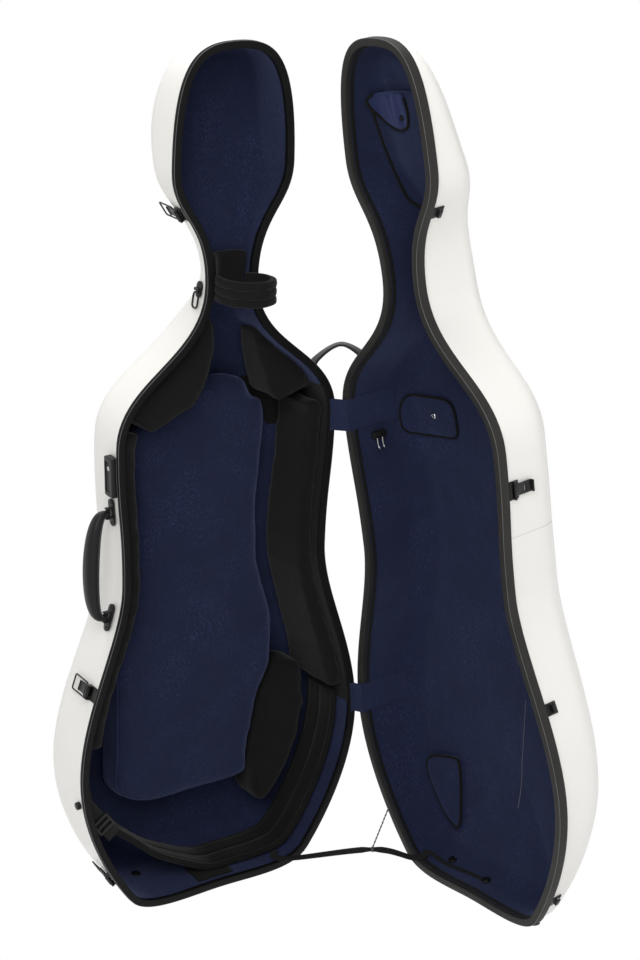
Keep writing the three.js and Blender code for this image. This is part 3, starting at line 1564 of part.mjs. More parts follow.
// Closed band round a level line of points, half its thickness to each side
function offsetBand(line, thickness) {
  const normals = line.map((p, k) => {
    const into = line[k - 1] && p.clone().sub(line[k - 1]);
    const onward = line[k + 1] && line[k + 1].clone().sub(p);
    const ways = [into, onward];
    const [before, after] = ways.map((v) => v && new THREE.Vector3(-v.y, v.x, 0).normalize());
    if (!before || !after) return before || after;
    const sum = before.clone().add(after);
    return sum.multiplyScalar(2 / sum.lengthSq());
  });
  const shift = (k, way) => line[k].clone().addScaledVector(normals[k], (way * thickness) / 2);
  const order = line.map((_, k) => k);
  return [...order.map((k) => shift(k, 1)), ...order.reverse().map((k) => shift(k, -1))];
}

// Webbing stay that rises a little between base and lid, and the elastic that gathers its middle
function addStay() {
  const level = rimInner + stayStandOff + stayThickness / 2;
  const inside = (across, depth, y) =>
    insetPoint(stationAcross(across, sides.hinge), level + Math.abs(depth) * draftShare, y);
  const inBase = (depth) => inside(stayBaseAcross, depth, depth);
  const inLid = (depth) => inside(stayLidAcross, depth, -depth).applyMatrix4(lidTurn);
  const start = inBase(stayAnchorDepth);
  const baseEdge = inBase(-stayThickness);
  const lidEdge = inLid(-stayThickness);
  const end = inLid(stayAnchorDepth);
  const middle = baseEdge.clone().lerp(lidEdge, stayKnotShare);
  middle.z += stayRise;
  const points = new THREE.CatmullRomCurve3([start, baseEdge, middle, lidEdge, end]).getPoints(strapSteps);
  const ends = [stayBaseAcross, stayLidAcross].map((across) => stationAcross(across, sides.hinge).along);
  const lidAlong = ends[1].clone().transformDirection(lidTurn);
  const wide = points.map((_, k) => ends[0].clone().lerp(lidAlong, k / (points.length - 1)));
  addPart("stay_strap", strip(points, wide, stayWidth, stayThickness), "webbing", base);
  const from = middle.clone();
  from.z += stayThickness / 2 + elasticRadius + seatGap;
  const knotPlace = stationAt(elasticHeight, sides.hinge);
  const knot = insetPoint(knotPlace, rimInner / 2, elasticRadius).applyMatrix4(lidTurn);
  const path = [from, from.clone().lerp(knot, 0.5), knot];
  addPart("stay_elastic", wire(path, elasticRadius, elasticSteps, elasticSides), "elastic", base);
}

// Assembly

function buildCase() {
  base.rotation.x = leanAngle;
  lid.applyMatrix4(lidTurn);
  base.add(lid);
  root.add(base);

  addHalf("base", base, baseBandDepth);
  addHalf("lid", lid, lidBandDepth);
  addCushion();
  addWallPads();
  addBand();
  addNeckRest();
  for (const [place, height] of Object.entries(latchHeights)) {
    const side = place === "top" ? sides.hinge : sides.open;
    addLatch(place, height, side);
    addCatch(place, height, side);
  }
  addLockAndHasp();
  addCarryHandle();
  addStrapFittings();
  addHinges();
  addHingeCovers();
  addRearHandle();
  addLidSoftGoods();
  addStay();

  base.position.z = rimClearance;
  root.updateMatrixWorld(true);
  addFeet(base.matrixWorld);
}

// The origin is the middle of the standing case's footprint, on the floor
function centreOnFloor() {
  root.updateMatrixWorld(true);
  const bounds = new THREE.Box3().setFromObject(root, true);
  const middle = bounds.getCenter(new THREE.Vector3());
  base.position.x -= middle.x;
  base.position.y -= middle.y;
  base.position.z -= bounds.min.z;
  root.updateMatrixWorld(true);
}

buildCase();
centreOnFloor();

export default root;
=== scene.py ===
# %% [markdown]
# # A hard case for a cello, standing open
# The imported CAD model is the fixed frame. It holds every joint and every fitting.
# Each cell dresses one part of the case, in metres, in the same place as the CAD says.

# %% Load the frame
import itertools
import json
import math
from collections import namedtuple

import bmesh
import bpy
from mathutils import Matrix, Vector, noise
from mathutils.bvhtree import BVHTree
from mathutils.geometry import interpolate_bezier


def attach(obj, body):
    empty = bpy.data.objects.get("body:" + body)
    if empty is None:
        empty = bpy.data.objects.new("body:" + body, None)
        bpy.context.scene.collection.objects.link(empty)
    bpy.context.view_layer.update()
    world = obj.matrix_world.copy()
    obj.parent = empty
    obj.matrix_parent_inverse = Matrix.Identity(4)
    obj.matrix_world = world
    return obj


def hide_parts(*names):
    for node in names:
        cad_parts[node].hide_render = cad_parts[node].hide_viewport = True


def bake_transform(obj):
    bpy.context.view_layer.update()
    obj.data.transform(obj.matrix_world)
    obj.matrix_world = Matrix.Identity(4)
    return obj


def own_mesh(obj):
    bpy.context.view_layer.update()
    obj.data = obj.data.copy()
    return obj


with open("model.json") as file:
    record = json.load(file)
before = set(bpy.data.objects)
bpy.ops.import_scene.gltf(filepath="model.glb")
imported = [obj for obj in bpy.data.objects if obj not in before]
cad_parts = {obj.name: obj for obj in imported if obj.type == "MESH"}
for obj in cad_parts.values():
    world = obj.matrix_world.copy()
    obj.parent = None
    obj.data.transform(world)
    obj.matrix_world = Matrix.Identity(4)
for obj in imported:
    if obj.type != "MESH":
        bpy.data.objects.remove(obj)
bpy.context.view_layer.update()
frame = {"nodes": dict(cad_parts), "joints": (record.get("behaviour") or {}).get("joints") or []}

MM = 0.001
joints = {joint["name"]: joint for joint in frame["joints"]}

# %% [markdown]
# ## Where the two halves stand
# Both halves are drawn closed: x across, z along the case, y into the base's depth.
# The base leans back a little, and the lid is the same drawing turned open about the hinge
# line. A matrix for each half takes a point of the drawing, in millimetres, to its place.

# %% Frames of the two halves
lean_angle = math.radians(6)
open_angle = math.radians(89)
hinge_across = 251.277
hinge_height = 268

lid_joint = joints["lid_hinge"]
hinge_point = Vector(lid_joint["pos_m"])
hinge_axis = Vector(lid_joint["axis"])
lean = Matrix.Rotation(lean_angle, 4, "X")
case_origin = hinge_point - lean @ Vector((hinge_across, 0, hinge_height)) * MM
to_base = Matrix.Translation(case_origin) @ lean @ Matrix.Scale(MM, 4)
swing = Matrix.Rotation(-open_angle, 4, hinge_axis)
to_lid = Matrix.Translation(hinge_point) @ swing @ Matrix.Translation(-hinge_point) @ to_base
places = {"base": to_base, "lid": to_lid}
turns = {half: place.to_3x3().normalized() for half, place in places.items()}
ways = {"base": 1, "lid": -1}
deeper = {half: turns[half] @ Vector((0, ways[half], 0)) for half in ways}
print("case origin", [round(v, 4) for v in case_origin])

# %% [markdown]
# ## The outline
# A real shell is laid up in a mould drawn from a few long curves. The same curves are drawn
# here as Bezier pieces, with many more steps than the CAD, so that no facet shows.

# %% Outline stations
# across, height, heading in degrees, reach before and reach after the turning point
outline_knots = [
    (0, 0, 0, 0, 60),
    (163, 22, 51.566, 42, 16),
    (249, 246, 90, 112, 110),
    (178, 541, 90, 80, 100),
    (189, 752, 90, 95, 105),
    (43, 977, 90, 110, 96),
    (101, 1145, 90, 66, 160),
    (0, 1320, 180, 58, 0),
]
steps_of_curves = [18, 22, 24, 18, 26, 20, 26]
spine_low = 205
spine_high = 1225
least_stretch = 0.55
innermost_share = 0.94

Station = namedtuple("Station", "origin normal spine inward reach stretch")


def heading(degrees):
    return Vector((math.cos(math.radians(degrees)), 0, math.sin(math.radians(degrees))))


def outline_points():
    """The right half of the outline, from the lower end up to the top."""
    points = []
    for knot, following, steps in zip(outline_knots, outline_knots[1:], steps_of_curves):
        start, end = Vector((knot[0], 0, knot[1])), Vector((following[0], 0, following[1]))
        first = start + knot[4] * heading(knot[2])
        second = end - following[3] * heading(following[2])
        points += interpolate_bezier(start, first, second, end, steps + 1)[:-1]
    return points + [end]


def station_of(point, tangent):
    normal = Vector((tangent.z, 0, -tangent.x)).normalized()
    spine = Vector((0, 0, min(max(point.z, spine_low), spine_high)))
    inward = spine - point
    reach = inward.length
    inward.normalize()
    return Station(point, normal, spine, inward, reach, max(-normal.dot(inward), least_stretch))


def outline_stations():
    """Every station, up the hinge side and down the open side."""
    right = outline_points()
    ring = right + [Vector((-p.x, 0, p.z)) for p in reversed(right[1:-1])]
    count = len(ring)
    return [station_of(p, ring[(k + 1) % count] - ring[k - 1]) for k, p in enumerate(ring)]


stations = outline_stations()
hinge_row = stations[: sum(steps_of_curves) + 1]
open_row = [stations[0]] + stations[: sum(steps_of_curves) - 1 : -1]
rows = {1: hinge_row, -1: open_row}
print("outline stations", len(stations))

# %% [markdown]
# ## The wall's section
# Each half has a straight wall with a little draft, a rounded back edge and a crowned panel.
# Depth and rounding change along the case, so both are read from small tables.

# %% Wall measures
seat_gap = 0.3
face_gap = 0.2
rim_wall = 3
rim_face = 3
shell_wall = 4
inner_lip_wall = 3.4
inner_lip_depth = 8
band_depths = {"base": 7, "lid": 15}
lining_wall = 3
draft_share = 0.052
panel_crown = 12
shell_inset = rim_wall + seat_gap
lining_offset = shell_wall + seat_gap
lining_face = lining_offset + lining_wall
pad_offset = lining_face + seat_gap
shell_edge = face_gap + rim_face + seat_gap
rim_lip = shell_inset + shell_wall + seat_gap + draft_share * inner_lip_depth
rim_inner = rim_lip + inner_lip_wall
lining_edge = inner_lip_depth + seat_gap

depth_heights = [0, 246, 541, 752, 900, 995, 1185, 1320]
depth_tables = {
    "base": [141, 137, 124, 113, 98, 44, 98, 82],
    "lid": [72, 104, 120, 113, 120, 118, 72, 46],
}
fillet_table = [(0, 45), (752, 45), (995, 27), (1185, 32), (1320, 32)]
crown_table = [(0, panel_crown), (752, panel_crown), (995, 0), (1320, 0)]


def eased(table, z):
    """A smooth curve through the table's rows, flat beyond its ends."""
    k = 0
    while k < len(table) - 2 and z > table[k + 1][0]:
        k += 1

    def slope(row):
        low, high = table[max(row - 1, 0)], table[min(row + 1, len(table) - 1)]
        return (high[1] - low[1]) / (high[0] - low[0])

    (z0, v0), (z1, v1) = table[k], table[k + 1]
    span = z1 - z0
    t = min(max((z - z0) / span, 0), 1)
    rest = 1 - t
    ease = v0 * rest * rest * (1 + 2 * t) + v1 * t * t * (3 - 2 * t)
    return ease + span * (slope(k) * t * rest * rest - slope(k + 1) * t * t * rest)


def depth_at(half, z):
    return eased(list(zip(depth_heights, depth_tables[half])), z)


def inset_point(station, inset, y):
    """A point inside the outline: inset from the rim's outer edge, y from the parting plane."""
    run = min(inset / station.stretch, innermost_share * station.reach)
    point = station.origin + station.inward * run
    point.y = y
    return point


def wall_point(station, half, offset, depth):
    return inset_point(station, shell_inset + offset + draft_share * depth, ways[half] * depth)


def fillet_point(station, half, offset, turn):
    z = station.origin.z
    fillet = eased(fillet_table, z)
    straight = depth_at(half, z) - fillet
    inset = shell_inset + draft_share * straight + fillet - (fillet - offset) * math.cos(turn)
    return inset_point(station, inset, ways[half] * (straight + (fillet - offset) * math.sin(turn)))


def panel_point(station, half, offset, share):
    """On the crowned panel: share 0 is the end of the rounded edge, 1 the spine."""
    edge = fillet_point(station, half, offset, math.pi / 2)
    z = station.spine.z
    middle = station.spine.copy()
    middle.y = ways[half] * (depth_at(half, z) + eased(crown_table, z) - offset)
    point = edge.lerp(middle, share)
    point.y = edge.y + (middle.y - edge.y) * (1 - (1 - share) ** 2)
    return point


wall_steps = 4
fillet_steps = 8
panel_steps = 7


def surface_rings(half, offset, edge):
    """Rings of a half's surface, from its edge at the parting plane to the spine."""
    starts = [wall_point(s, half, offset, edge) for s in stations]
    tops = [fillet_point(s, half, offset, 0) for s in stations]
    rings = [[a.lerp(b, k / wall_steps) for a, b in zip(starts, tops)] for k in range(wall_steps)]
    for k in range(fillet_steps + 1):
        turn = math.pi / 2 * k / fillet_steps
        rings.append([fillet_point(s, half, offset, turn) for s in stations])
    for k in range(1, panel_steps + 1):
        rings.append([panel_point(s, half, offset, k / panel_steps) for s in stations])
    return rings


def station_at(value, side, measure):
    """Where a measure first reaches a value on one side: 1 the hinge side, -1 the open side."""
    row = rows[side]
    upper = next(k for k, s in enumerate(row) if k and measure(s) >= value)
    low, high = row[upper - 1], row[upper]
    share = (value - measure(low)) / (measure(high) - measure(low))
    return station_of(low.origin.lerp(high.origin, share), side * (high.origin - low.origin))


def station_near(height, side):
    return station_at(height, side, lambda station: station.origin.z)


def station_across(across, side):
    """The outline's place on the lower end, at a distance from the middle."""
    return station_at(across, side, lambda station: abs(station.origin.x))


# %% [markdown]
# ## Turning rings into a skin
# A loft starts as one loop of edges. The loop is extruded, and the new loop is moved onto the
# next ring, again and again. Where the last ring falls onto the first, or onto itself, the
# doubles are merged and the form is closed. Each point keeps how far along and around it
# lies, so that weaves can follow the surface.

# %% Loft and piece helpers
weld = 1e-6
sharp_angle = math.radians(38)


def lengths_along(points):
    """The length of a run up to each of its points."""
    steps = ((b - a).length for a, b in zip(points, points[1:]))
    return list(itertools.accumulate(steps, initial=0.0))


def extruded(bm, edges):
    """Extrudes edges and returns the fresh corners and the fresh edges between them."""
    made = bmesh.ops.extrude_edge_only(bm, edges=edges)["geom"]
    fresh = {g for g in made if isinstance(g, bmesh.types.BMVert)}
    return fresh, [g for g in made if isinstance(g, bmesh.types.BMEdge) and set(g.verts) <= fresh]


def extrude_rings(bm, rings):
    """Extrudes a loop of edges through the rings and returns its first and last edges."""
    layer = bm.verts.layers.float_vector.get("run") or bm.verts.layers.float_vector.new("run")
    row = [bm.verts.new(p) for p in rings[0]]
    first = edges = [bm.edges.new(pair) for pair in zip(row, row[1:] + row[:1])]
    around = lengths_along(rings[0])
    along = 0.0
    for k, ring in enumerate(rings):
        if k:
            fresh, edges = extruded(bm, edges)
            row = [next(e.other_vert(v) for e in v.link_edges if e.other_vert(v) in fresh) for v in row]
            along += (ring[0] - rings[k - 1][0]).length
        for vertex, point, place in zip(row, ring, around):
            vertex.co = point
            vertex[layer] = (along, place, 0)
    return first, edges


def extrude_capped(bm, rings):
    """Extrudes a loop through the rings and closes both of its ends with a face."""
    for loop in extrude_rings(bm, rings):
        bmesh.ops.contextual_create(bm, geom=loop)


def add_object(name, data):
    made = bpy.data.objects.new(name, data)
    bpy.context.scene.collection.objects.link(made)
    return made


def finish_piece(bm, name, material, body, replaces=(), slot=None):
    """Closes a bmesh into an object that rides on a body and shows a material."""
    bmesh.ops.remove_doubles(bm, verts=bm.verts, dist=weld)
    bmesh.ops.dissolve_degenerate(bm, edges=bm.edges, dist=weld)
    bmesh.ops.recalc_face_normals(bm, faces=bm.faces)
    mesh = bpy.data.meshes.new(name)
    bm.to_mesh(mesh)
    bm.free()
    mesh.shade_smooth()
    mesh.set_sharp_from_angle(angle=sharp_angle)
    mesh.materials.append(material)
    piece = add_object(name, mesh)
    if body:
        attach(piece, body)
    if replaces:
        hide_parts(*replaces)
    return piece


def placed(rings, matrix):
    return [[matrix @ p for p in ring] for ring in rings]


def loft(name, rings, material, body, capped=False, **options):
    bm = bmesh.new()
    extrude = extrude_capped if capped else extrude_rings
    extrude(bm, rings)
    return finish_piece(bm, name, material, body, **options)


def modifier(piece, kind, **settings):
    made = piece.modifiers.new(kind.title(), kind)
    for key, value in settings.items():
        setattr(made, key, value)


def apply_modifiers(piece):
    """Bakes a piece's modifiers into its mesh."""
    depsgraph = bpy.context.evaluated_depsgraph_get()
    baked = bpy.data.meshes.new_from_object(piece.evaluated_get(depsgraph))
    piece.modifiers.clear()
    piece.data = baked
    return piece


def merged_copy(source):
    """A closed bmesh of a CAD node, with its loose triangles joined."""
    bm = bmesh.new()
    bm.from_mesh(frame["nodes"][source].data)
    bmesh.ops.remove_doubles(bm, verts=bm.verts, dist=weld)
    bmesh.ops.recalc_face_normals(bm, faces=bm.faces)
    return bm


# %% Places and directions
def middle_of(points):
    return sum(points, points[0] * 0) / len(points)


def squared(way, axis):
    """The unit direction at right angles to an axis that is nearest to a way."""
    return (way - axis * way.dot(axis)).normalized()


def facing(way, other):
    """A direction or its opposite, whichever points more towards the other."""
    return way if way.dot(other) > 0 else -way


def axes_at(place, x, y, z, scale=MM):
    """A matrix with its origin at a place and three directions as its axes, in millimetres."""
    return Matrix.Translation(place) @ Matrix((x, y, z)).transposed().to_4x4() @ Matrix.Scale(scale, 4)


def circle(sides):
    """The cosine and sine of each even step round a circle."""
    angles = [2 * math.pi * k / sides for k in range(sides)]
    return [(math.cos(angle), math.sin(angle)) for angle in angles]


def squarish(value, power):
    """A cosine or sine bent towards a square: the smaller the power, the squarer the form."""
    return math.copysign(abs(value) ** power, value)


# %% [markdown]
# ## Materials
# Effects that several finishes share are node groups: a fine grain for moulded and painted
# surfaces, a brushed nap for plush and foam cloth, and a weave for webbing. Each puts out a
# colour, a roughness and a height. The shader stays in the material, with its constants on
# its own sockets.

# %% Node helpers
def node(tree, kind, inputs=None, **settings):
    made = tree.nodes.new(kind)
    for key, value in settings.items():
        setattr(made, key, value)
    for key, value in (inputs or {}).items():
        if hasattr(value, "node"):
            tree.links.new(value, made.inputs[key])
        else:
            made.inputs[key].default_value = value
    return made


def maths(tree, operation, a, b=0.0):
    return node(tree, "ShaderNodeMath", {0: a, 1: b}, operation=operation).outputs[0]


def plus(tree, a, b):
    return maths(tree, "ADD", a, b)


def times(tree, a, b):
    return maths(tree, "MULTIPLY", a, b)


def mixed(tree, factor, a, b):
    return node(tree, "ShaderNodeMix", {0: factor, 6: a, 7: b}, data_type="RGBA").outputs[2]


def ranged(tree, value, low, high, to_low=0.0, to_high=1.0):
    inputs = {0: value, 1: low, 2: high, 3: to_low, 4: to_high}
    return node(tree, "ShaderNodeMapRange", inputs).outputs[0]


def noise_value(tree, vector, scale, detail=3.0, roughness=0.55):
    inputs = {"Vector": vector, "Scale": scale, "Detail": detail, "Roughness": roughness}
    return node(tree, "ShaderNodeTexNoise", inputs).outputs[0]


effect_outputs = {"Color": "Color", "Roughness": "Float", "Height": "Float"}


def new_group(name, inputs):
    """A shader node group with named sockets; returns it with what its input node gives."""
    tree = bpy.data.node_groups.new(name, "ShaderNodeTree")
    for label, kind, value in inputs:
        socket = tree.interface.new_socket(label, in_out="INPUT", socket_type="NodeSocket" + kind)
        if value is not None:
            socket.default_value = value
    for label, kind in effect_outputs.items():
        tree.interface.new_socket(label, in_out="OUTPUT", socket_type="NodeSocket" + kind)
    return tree, tree.nodes.new("NodeGroupInput").outputs


def end_group(tree, *values):
    """Links a group's colour, roughness and height to its output node."""
    result = tree.nodes.new("NodeGroupOutput").inputs
    for label, value in zip(effect_outputs, values):
        tree.links.new(value, result[label])
    return tree


# %% Fine grain of moulded, painted and leathered surfaces
patch_scale = 0.018


def build_grain():
    inputs = [
        ("Vector", "Vector", None),
        ("Color", "Color", (0.5, 0.5, 0.5, 1)),
        ("Worn", "Color", (0.6, 0.6, 0.6, 1)),
        ("Scale", "Float", 900.0),
        ("Vary", "Float", 0.15),
        ("Base Roughness", "Float", 0.5),
    ]
    tree, given = new_group("fine_grain", inputs)
    vector, scale, vary = given["Vector"], given["Scale"], given["Vary"]
    fine = noise_value(tree, vector, scale, 2.0)
    broad = noise_value(tree, vector, times(tree, scale, patch_scale), 4.0)
    cells = node(tree, "ShaderNodeTexVoronoi", {"Vector": vector, "Scale": scale}, feature="SMOOTH_F1")
    patches = times(tree, ranged(tree, broad, 0.35, 0.7), vary)
    specks = times(tree, ranged(tree, fine, 0.45, 0.75), vary)
    color = mixed(tree, plus(tree, patches, specks), given["Color"], given["Worn"])
    roughness = plus(tree, given["Base Roughness"], ranged(tree, broad, 0.3, 0.7, -0.07, 0.09))
    return end_group(tree, color, roughness, plus(tree, cells.outputs["Distance"], fine))


fine_grain = build_grain()


# %% Brushed nap of plush and covered foam
nap_bend = 0.05
nap_stretch = (560.0, 560.0, 260.0)
nap_turn = (0.35, 0.3, 0.0)


def build_nap():
    inputs = [
        ("Vector", "Vector", None),
        ("Deep", "Color", (0.01, 0.01, 0.02, 1)),
        ("Lit", "Color", (0.03, 0.04, 0.1, 1)),
        ("Brushed", "Color", (0.08, 0.1, 0.3, 1)),
        ("Brushed Share", "Float", 0.5),
    ]
    tree, given = new_group("brushed_nap", inputs)
    vector = given["Vector"]
    warp = node(tree, "ShaderNodeTexNoise", {"Vector": vector, "Scale": 9.0, "Detail": 3.0}).outputs["Color"]
    offset = node(tree, "ShaderNodeVectorMath", {0: warp, "Scale": nap_bend}, operation="SCALE").outputs[0]
    bent = node(tree, "ShaderNodeVectorMath", {0: vector, 1: offset}, operation="ADD").outputs[0]
    laid = node(tree, "ShaderNodeMapping", {"Vector": bent, "Scale": nap_stretch, "Rotation": nap_turn})
    streaks = noise_value(tree, laid.outputs[0], 1.0, 4.0, 0.7)
    fibres = noise_value(tree, vector, 1400.0, 2.0)
    clouds = noise_value(tree, bent, 13.0, 4.0, 0.6)
    crush = noise_value(tree, bent, 60.0, 4.0, 0.65)
    shade = times(tree, ranged(tree, fibres, 0.3, 0.75), ranged(tree, crush, 0.25, 0.7, 0.45, 1.0))
    body = mixed(tree, shade, given["Deep"], given["Lit"])
    brushed = times(tree, ranged(tree, streaks, 0.5, 0.7), ranged(tree, clouds, 0.38, 0.68))
    color = mixed(tree, times(tree, brushed, given["Brushed Share"]), body, given["Brushed"])
    height = plus(tree, plus(tree, fibres, times(tree, crush, 1.6)), streaks)
    return end_group(tree, color, ranged(tree, crush, 0.3, 0.7, 0.82, 1.0), height)


brushed_nap = build_nap()


# %% Weave of webbing and elastic
def build_weave():
    inputs = [
        ("Along", "Float", 0.0),
        ("Around", "Float", 0.0),
        ("Color", "Color", (0.02, 0.02, 0.02, 1)),
        ("Ridge", "Color", (0.05, 0.05, 0.05, 1)),
        ("Thread", "Float", 0.0011),
    ]
    tree, given = new_group("webbing_weave", inputs)
    rate = maths(tree, "DIVIDE", 2 * math.pi, given["Thread"])
    warp = maths(tree, "SINE", times(tree, given["Along"], rate))
    weft = maths(tree, "SINE", times(tree, given["Around"], rate))
    share = ranged(tree, times(tree, warp, weft), -1.0, 1.0)
    color = mixed(tree, share, given["Color"], given["Ridge"])
    return end_group(tree, color, ranged(tree, share, 0.0, 1.0, 0.95, 0.7), share)


webbing_weave = build_weave()


# %% One finish from a group
def new_finish(name, group, values, bump, distance, constants):
    """A material whose colour, roughness and bump come from an effect group."""
    material = bpy.data.materials.new(name)
    material.use_nodes = True
    tree = material.node_tree
    shader = tree.nodes["Principled BSDF"]
    for key, value in constants.items():
        shader.inputs[key].default_value = value
    if group == webbing_weave:
        run = node(tree, "ShaderNodeAttribute", attribute_name="run").outputs["Vector"]
        parts = node(tree, "ShaderNodeSeparateXYZ", {0: run}).outputs
        where = {"Along": parts[0], "Around": parts[1]}
    else:
        where = {"Vector": node(tree, "ShaderNodeTexCoord").outputs["Object"]}
    made = node(tree, "ShaderNodeGroup", node_tree=group)
    for key, value in values.items():
        made.inputs[key].default_value = value
    for key, value in where.items():
        tree.links.new(value, made.inputs[key])
    heights = {"Strength": bump, "Distance": distance, "Height": made.outputs["Height"]}
    bumped = node(tree, "ShaderNodeBump", heights)
    tree.links.new(made.outputs["Color"], shader.inputs["Base Color"])
    tree.links.new(made.outputs["Roughness"], shader.inputs["Roughness"])
    tree.links.new(bumped.outputs[0], shader.inputs["Normal"])
    return material


def opaque(color):
    """A colour for a socket, from three shares or one grey level."""
    return (*color, 1) if isinstance(color, tuple) else (color, color, color, 1)


def grained(name, color, worn, scale, vary, roughness, bump, specular=0.5, distance=0.0004, **constants):
    values = {"Color": opaque(color), "Worn": opaque(worn), "Scale": scale, "Vary": vary}
    values["Base Roughness"] = roughness
    constants["Specular IOR Level"] = specular
    return new_finish(name, fine_grain, values, bump, distance, constants)


def napped(name, deep, lit, brushed, share, sheen, tint, bump=0.5):
    values = {"Deep": opaque(deep), "Lit": opaque(lit), "Brushed": opaque(brushed), "Brushed Share": share}
    constants = {"Sheen Weight": sheen, "Sheen Roughness": 0.45, "Sheen Tint": opaque(tint)}
    constants["Specular IOR Level"] = 0.15
    return new_finish(name, brushed_nap, values, bump, 0.0008, constants)


def woven(name, color, ridge, thread, bump):
    values = {"Color": opaque(color), "Ridge": opaque(ridge), "Thread": thread}
    return new_finish(name, webbing_weave, values, bump, 0.0005, {"Specular IOR Level": 0.25})


# %% Finishes of the case
coat = {"Coat Weight": 0.12, "Coat Roughness": 0.25}
shell_white = grained(
    "shell_white", (0.86, 0.845, 0.81), (0.80, 0.785, 0.745), 420.0, 0.22, 0.36, 0.06, **coat
)
trim_grey = grained(
    "trim_grey", (0.018, 0.017, 0.016), (0.035, 0.0335, 0.0315), 1500.0, 0.35, 0.6, 0.18, 0.28
)
# The base's trim rubber is a darker copy of the lid's: painted shade.
trim_black_painted_shade = grained(
    "trim_black_painted_shade", (0.003, 0.003, 0.0032), (0.009, 0.009, 0.0095), 1500.0, 0.35, 0.6, 0.18, 0.16
)
# Light grey for the beads on the trims' edges: painted highlights.
trim_painted_highlight = grained("trim_painted_highlight", (0.09, 0.09, 0.088), (0.16, 0.16, 0.155), 1500.0, 0.4, 0.4, 0.1)
coated_black = grained("coated_black", 0.004, 0.016, 1800.0, 0.3, 0.3, 0.12, 0.32)
moulded_black = grained("moulded_black", 0.004, 0.014, 1300.0, 0.3, 0.38, 0.25, 0.28)
hide_black = grained("hide_black", 0.0045, (0.018, 0.018, 0.019), 620.0, 0.3, 0.34, 0.6, 0.25, 0.0007)
thread_grey = grained("thread_grey", 0.05, 0.1, 3000.0, 0.4, 0.7, 0.4)
pale_line_grey = grained("pale_line_grey", (0.12, 0.125, 0.14), (0.2, 0.205, 0.22), 3000.0, 0.4, 0.6, 0.3)
shell_seam = grained("shell_seam", (0.42, 0.41, 0.39), (0.5, 0.49, 0.47), 800.0, 0.3, 0.6, 0.1)
foot_rubber = grained("foot_rubber", 0.018, 0.05, 1100.0, 0.4, 0.75, 0.4)
bright_steel = grained(
    "bright_steel", (0.55, 0.55, 0.56), (0.4, 0.4, 0.41), 1600.0, 0.3, 0.28, 0.08, Metallic=1.0
)
plush_tint = (0.35, 0.42, 0.8)
navy_plush = napped(
    "navy_plush", (0.0066, 0.0092, 0.025), (0.0175, 0.024, 0.066), (0.055, 0.075, 0.21),
    0.62, 0.36, plush_tint,
)
# A brighter copy of the navy plush, for the pouch's flap: painted sheen.
navy_painted_sheen = napped(
    "navy_painted_sheen", (0.01, 0.014, 0.042), (0.026, 0.036, 0.11), (0.07, 0.09, 0.26),
    0.55, 0.45, (0.35, 0.42, 0.85),
)
navy_piping = napped(
    "navy_piping", (0.012, 0.016, 0.042), (0.025, 0.034, 0.085), (0.05, 0.065, 0.15),
    0.4, 0.4, (0.4, 0.45, 0.8), 0.3,
)
cover_plush = napped(
    "cover_plush", (0.009, 0.012, 0.032), (0.021, 0.028, 0.074), (0.05, 0.065, 0.18),
    0.45, 0.4, plush_tint,
)
black_plush = napped("black_plush", 0.004, 0.009, 0.02, 0.25, 0.18, 0.5, 0.35)
black_piping = napped("black_piping", 0.004, 0.009, 0.016, 0.2, 0.1, 0.5, 0.2)
black_webbing = woven("black_webbing", 0.006, 0.02, 0.0014, 0.8)
grey_elastic = woven("grey_elastic", 0.05, (0.22, 0.22, 0.21), 0.0019, 1.0)
print("materials", len(bpy.data.materials))

# %% [markdown]
# ## Shells
# Each shell is one moulded skin four millimetres thick. It is lofted from the trimmed edge
# down the wall, round the back edge and over the crowned panel to the spine, and back again
# on the inside, so it has a real thickness.

# %% Shells
def skin(name, half, near, far, edge, material, slot, replaced):
    outer = surface_rings(half, near, edge)
    inner = surface_rings(half, far, edge)
    rings = placed([*reversed(outer), *inner], places[half])
    return loft(name, rings, material, half, replaces=[replaced], slot=slot)


for half in ways:
    name = f"{half}_moulded_shell"
    shell = skin(name, half, 0, shell_wall, shell_edge, shell_white, "shell", f"{half}_shell")
    print(shell.name, len(shell.data.polygons))

# %% [markdown]
# ## Linings
# Plush is glued to the inside of each shell. It is lofted the same way, and its inner face
# is moved a little in and out, because glued cloth over felt is never quite even.

# %% Plush linings
def ripple(piece, depth, scale):
    """Moves points up to a depth in millimetres along their normals, by smooth noise."""
    for vertex in piece.data.vertices:
        vertex.co += vertex.normal * depth * MM * noise.noise(vertex.co * scale)


for half in ways:
    name, replaced = f"{half}_plush_lining", f"{half}_lining"
    lining = skin(name, half, lining_offset, lining_face, lining_edge, navy_plush, "plush", replaced)
    ripple(lining, 0.45, 26.0)
    print(lining.name, len(lining.data.polygons))

# %% [markdown]
# ## Trims
# A channel-shaped rubber trim closes over each shell's edge. Its section is drawn once with
# rounded corners, and every corner of it runs round the whole outline.

# %% Edge trims
def rounded(points, radius, steps, closed=True):
    """The points with their corners rounded; an open run keeps its two ends."""
    count = len(points)
    made = [] if closed else [points[0]]
    for k in range(count) if closed else range(1, count - 1):
        corner, before, after = points[k], points[k - 1], points[(k + 1) % count]
        reach = min(radius, (before - corner).length / 2.2, (after - corner).length / 2.2)
        start = corner + (before - corner).normalized() * reach
        end = corner + (after - corner).normalized() * reach
        for i in range(steps + 1):
            t = i / steps
            made.append(start * (1 - t) ** 2 + corner * 2 * t * (1 - t) + end * t ** 2)
    return made if closed else made + [points[-1]]


trim_rounding = 0.9


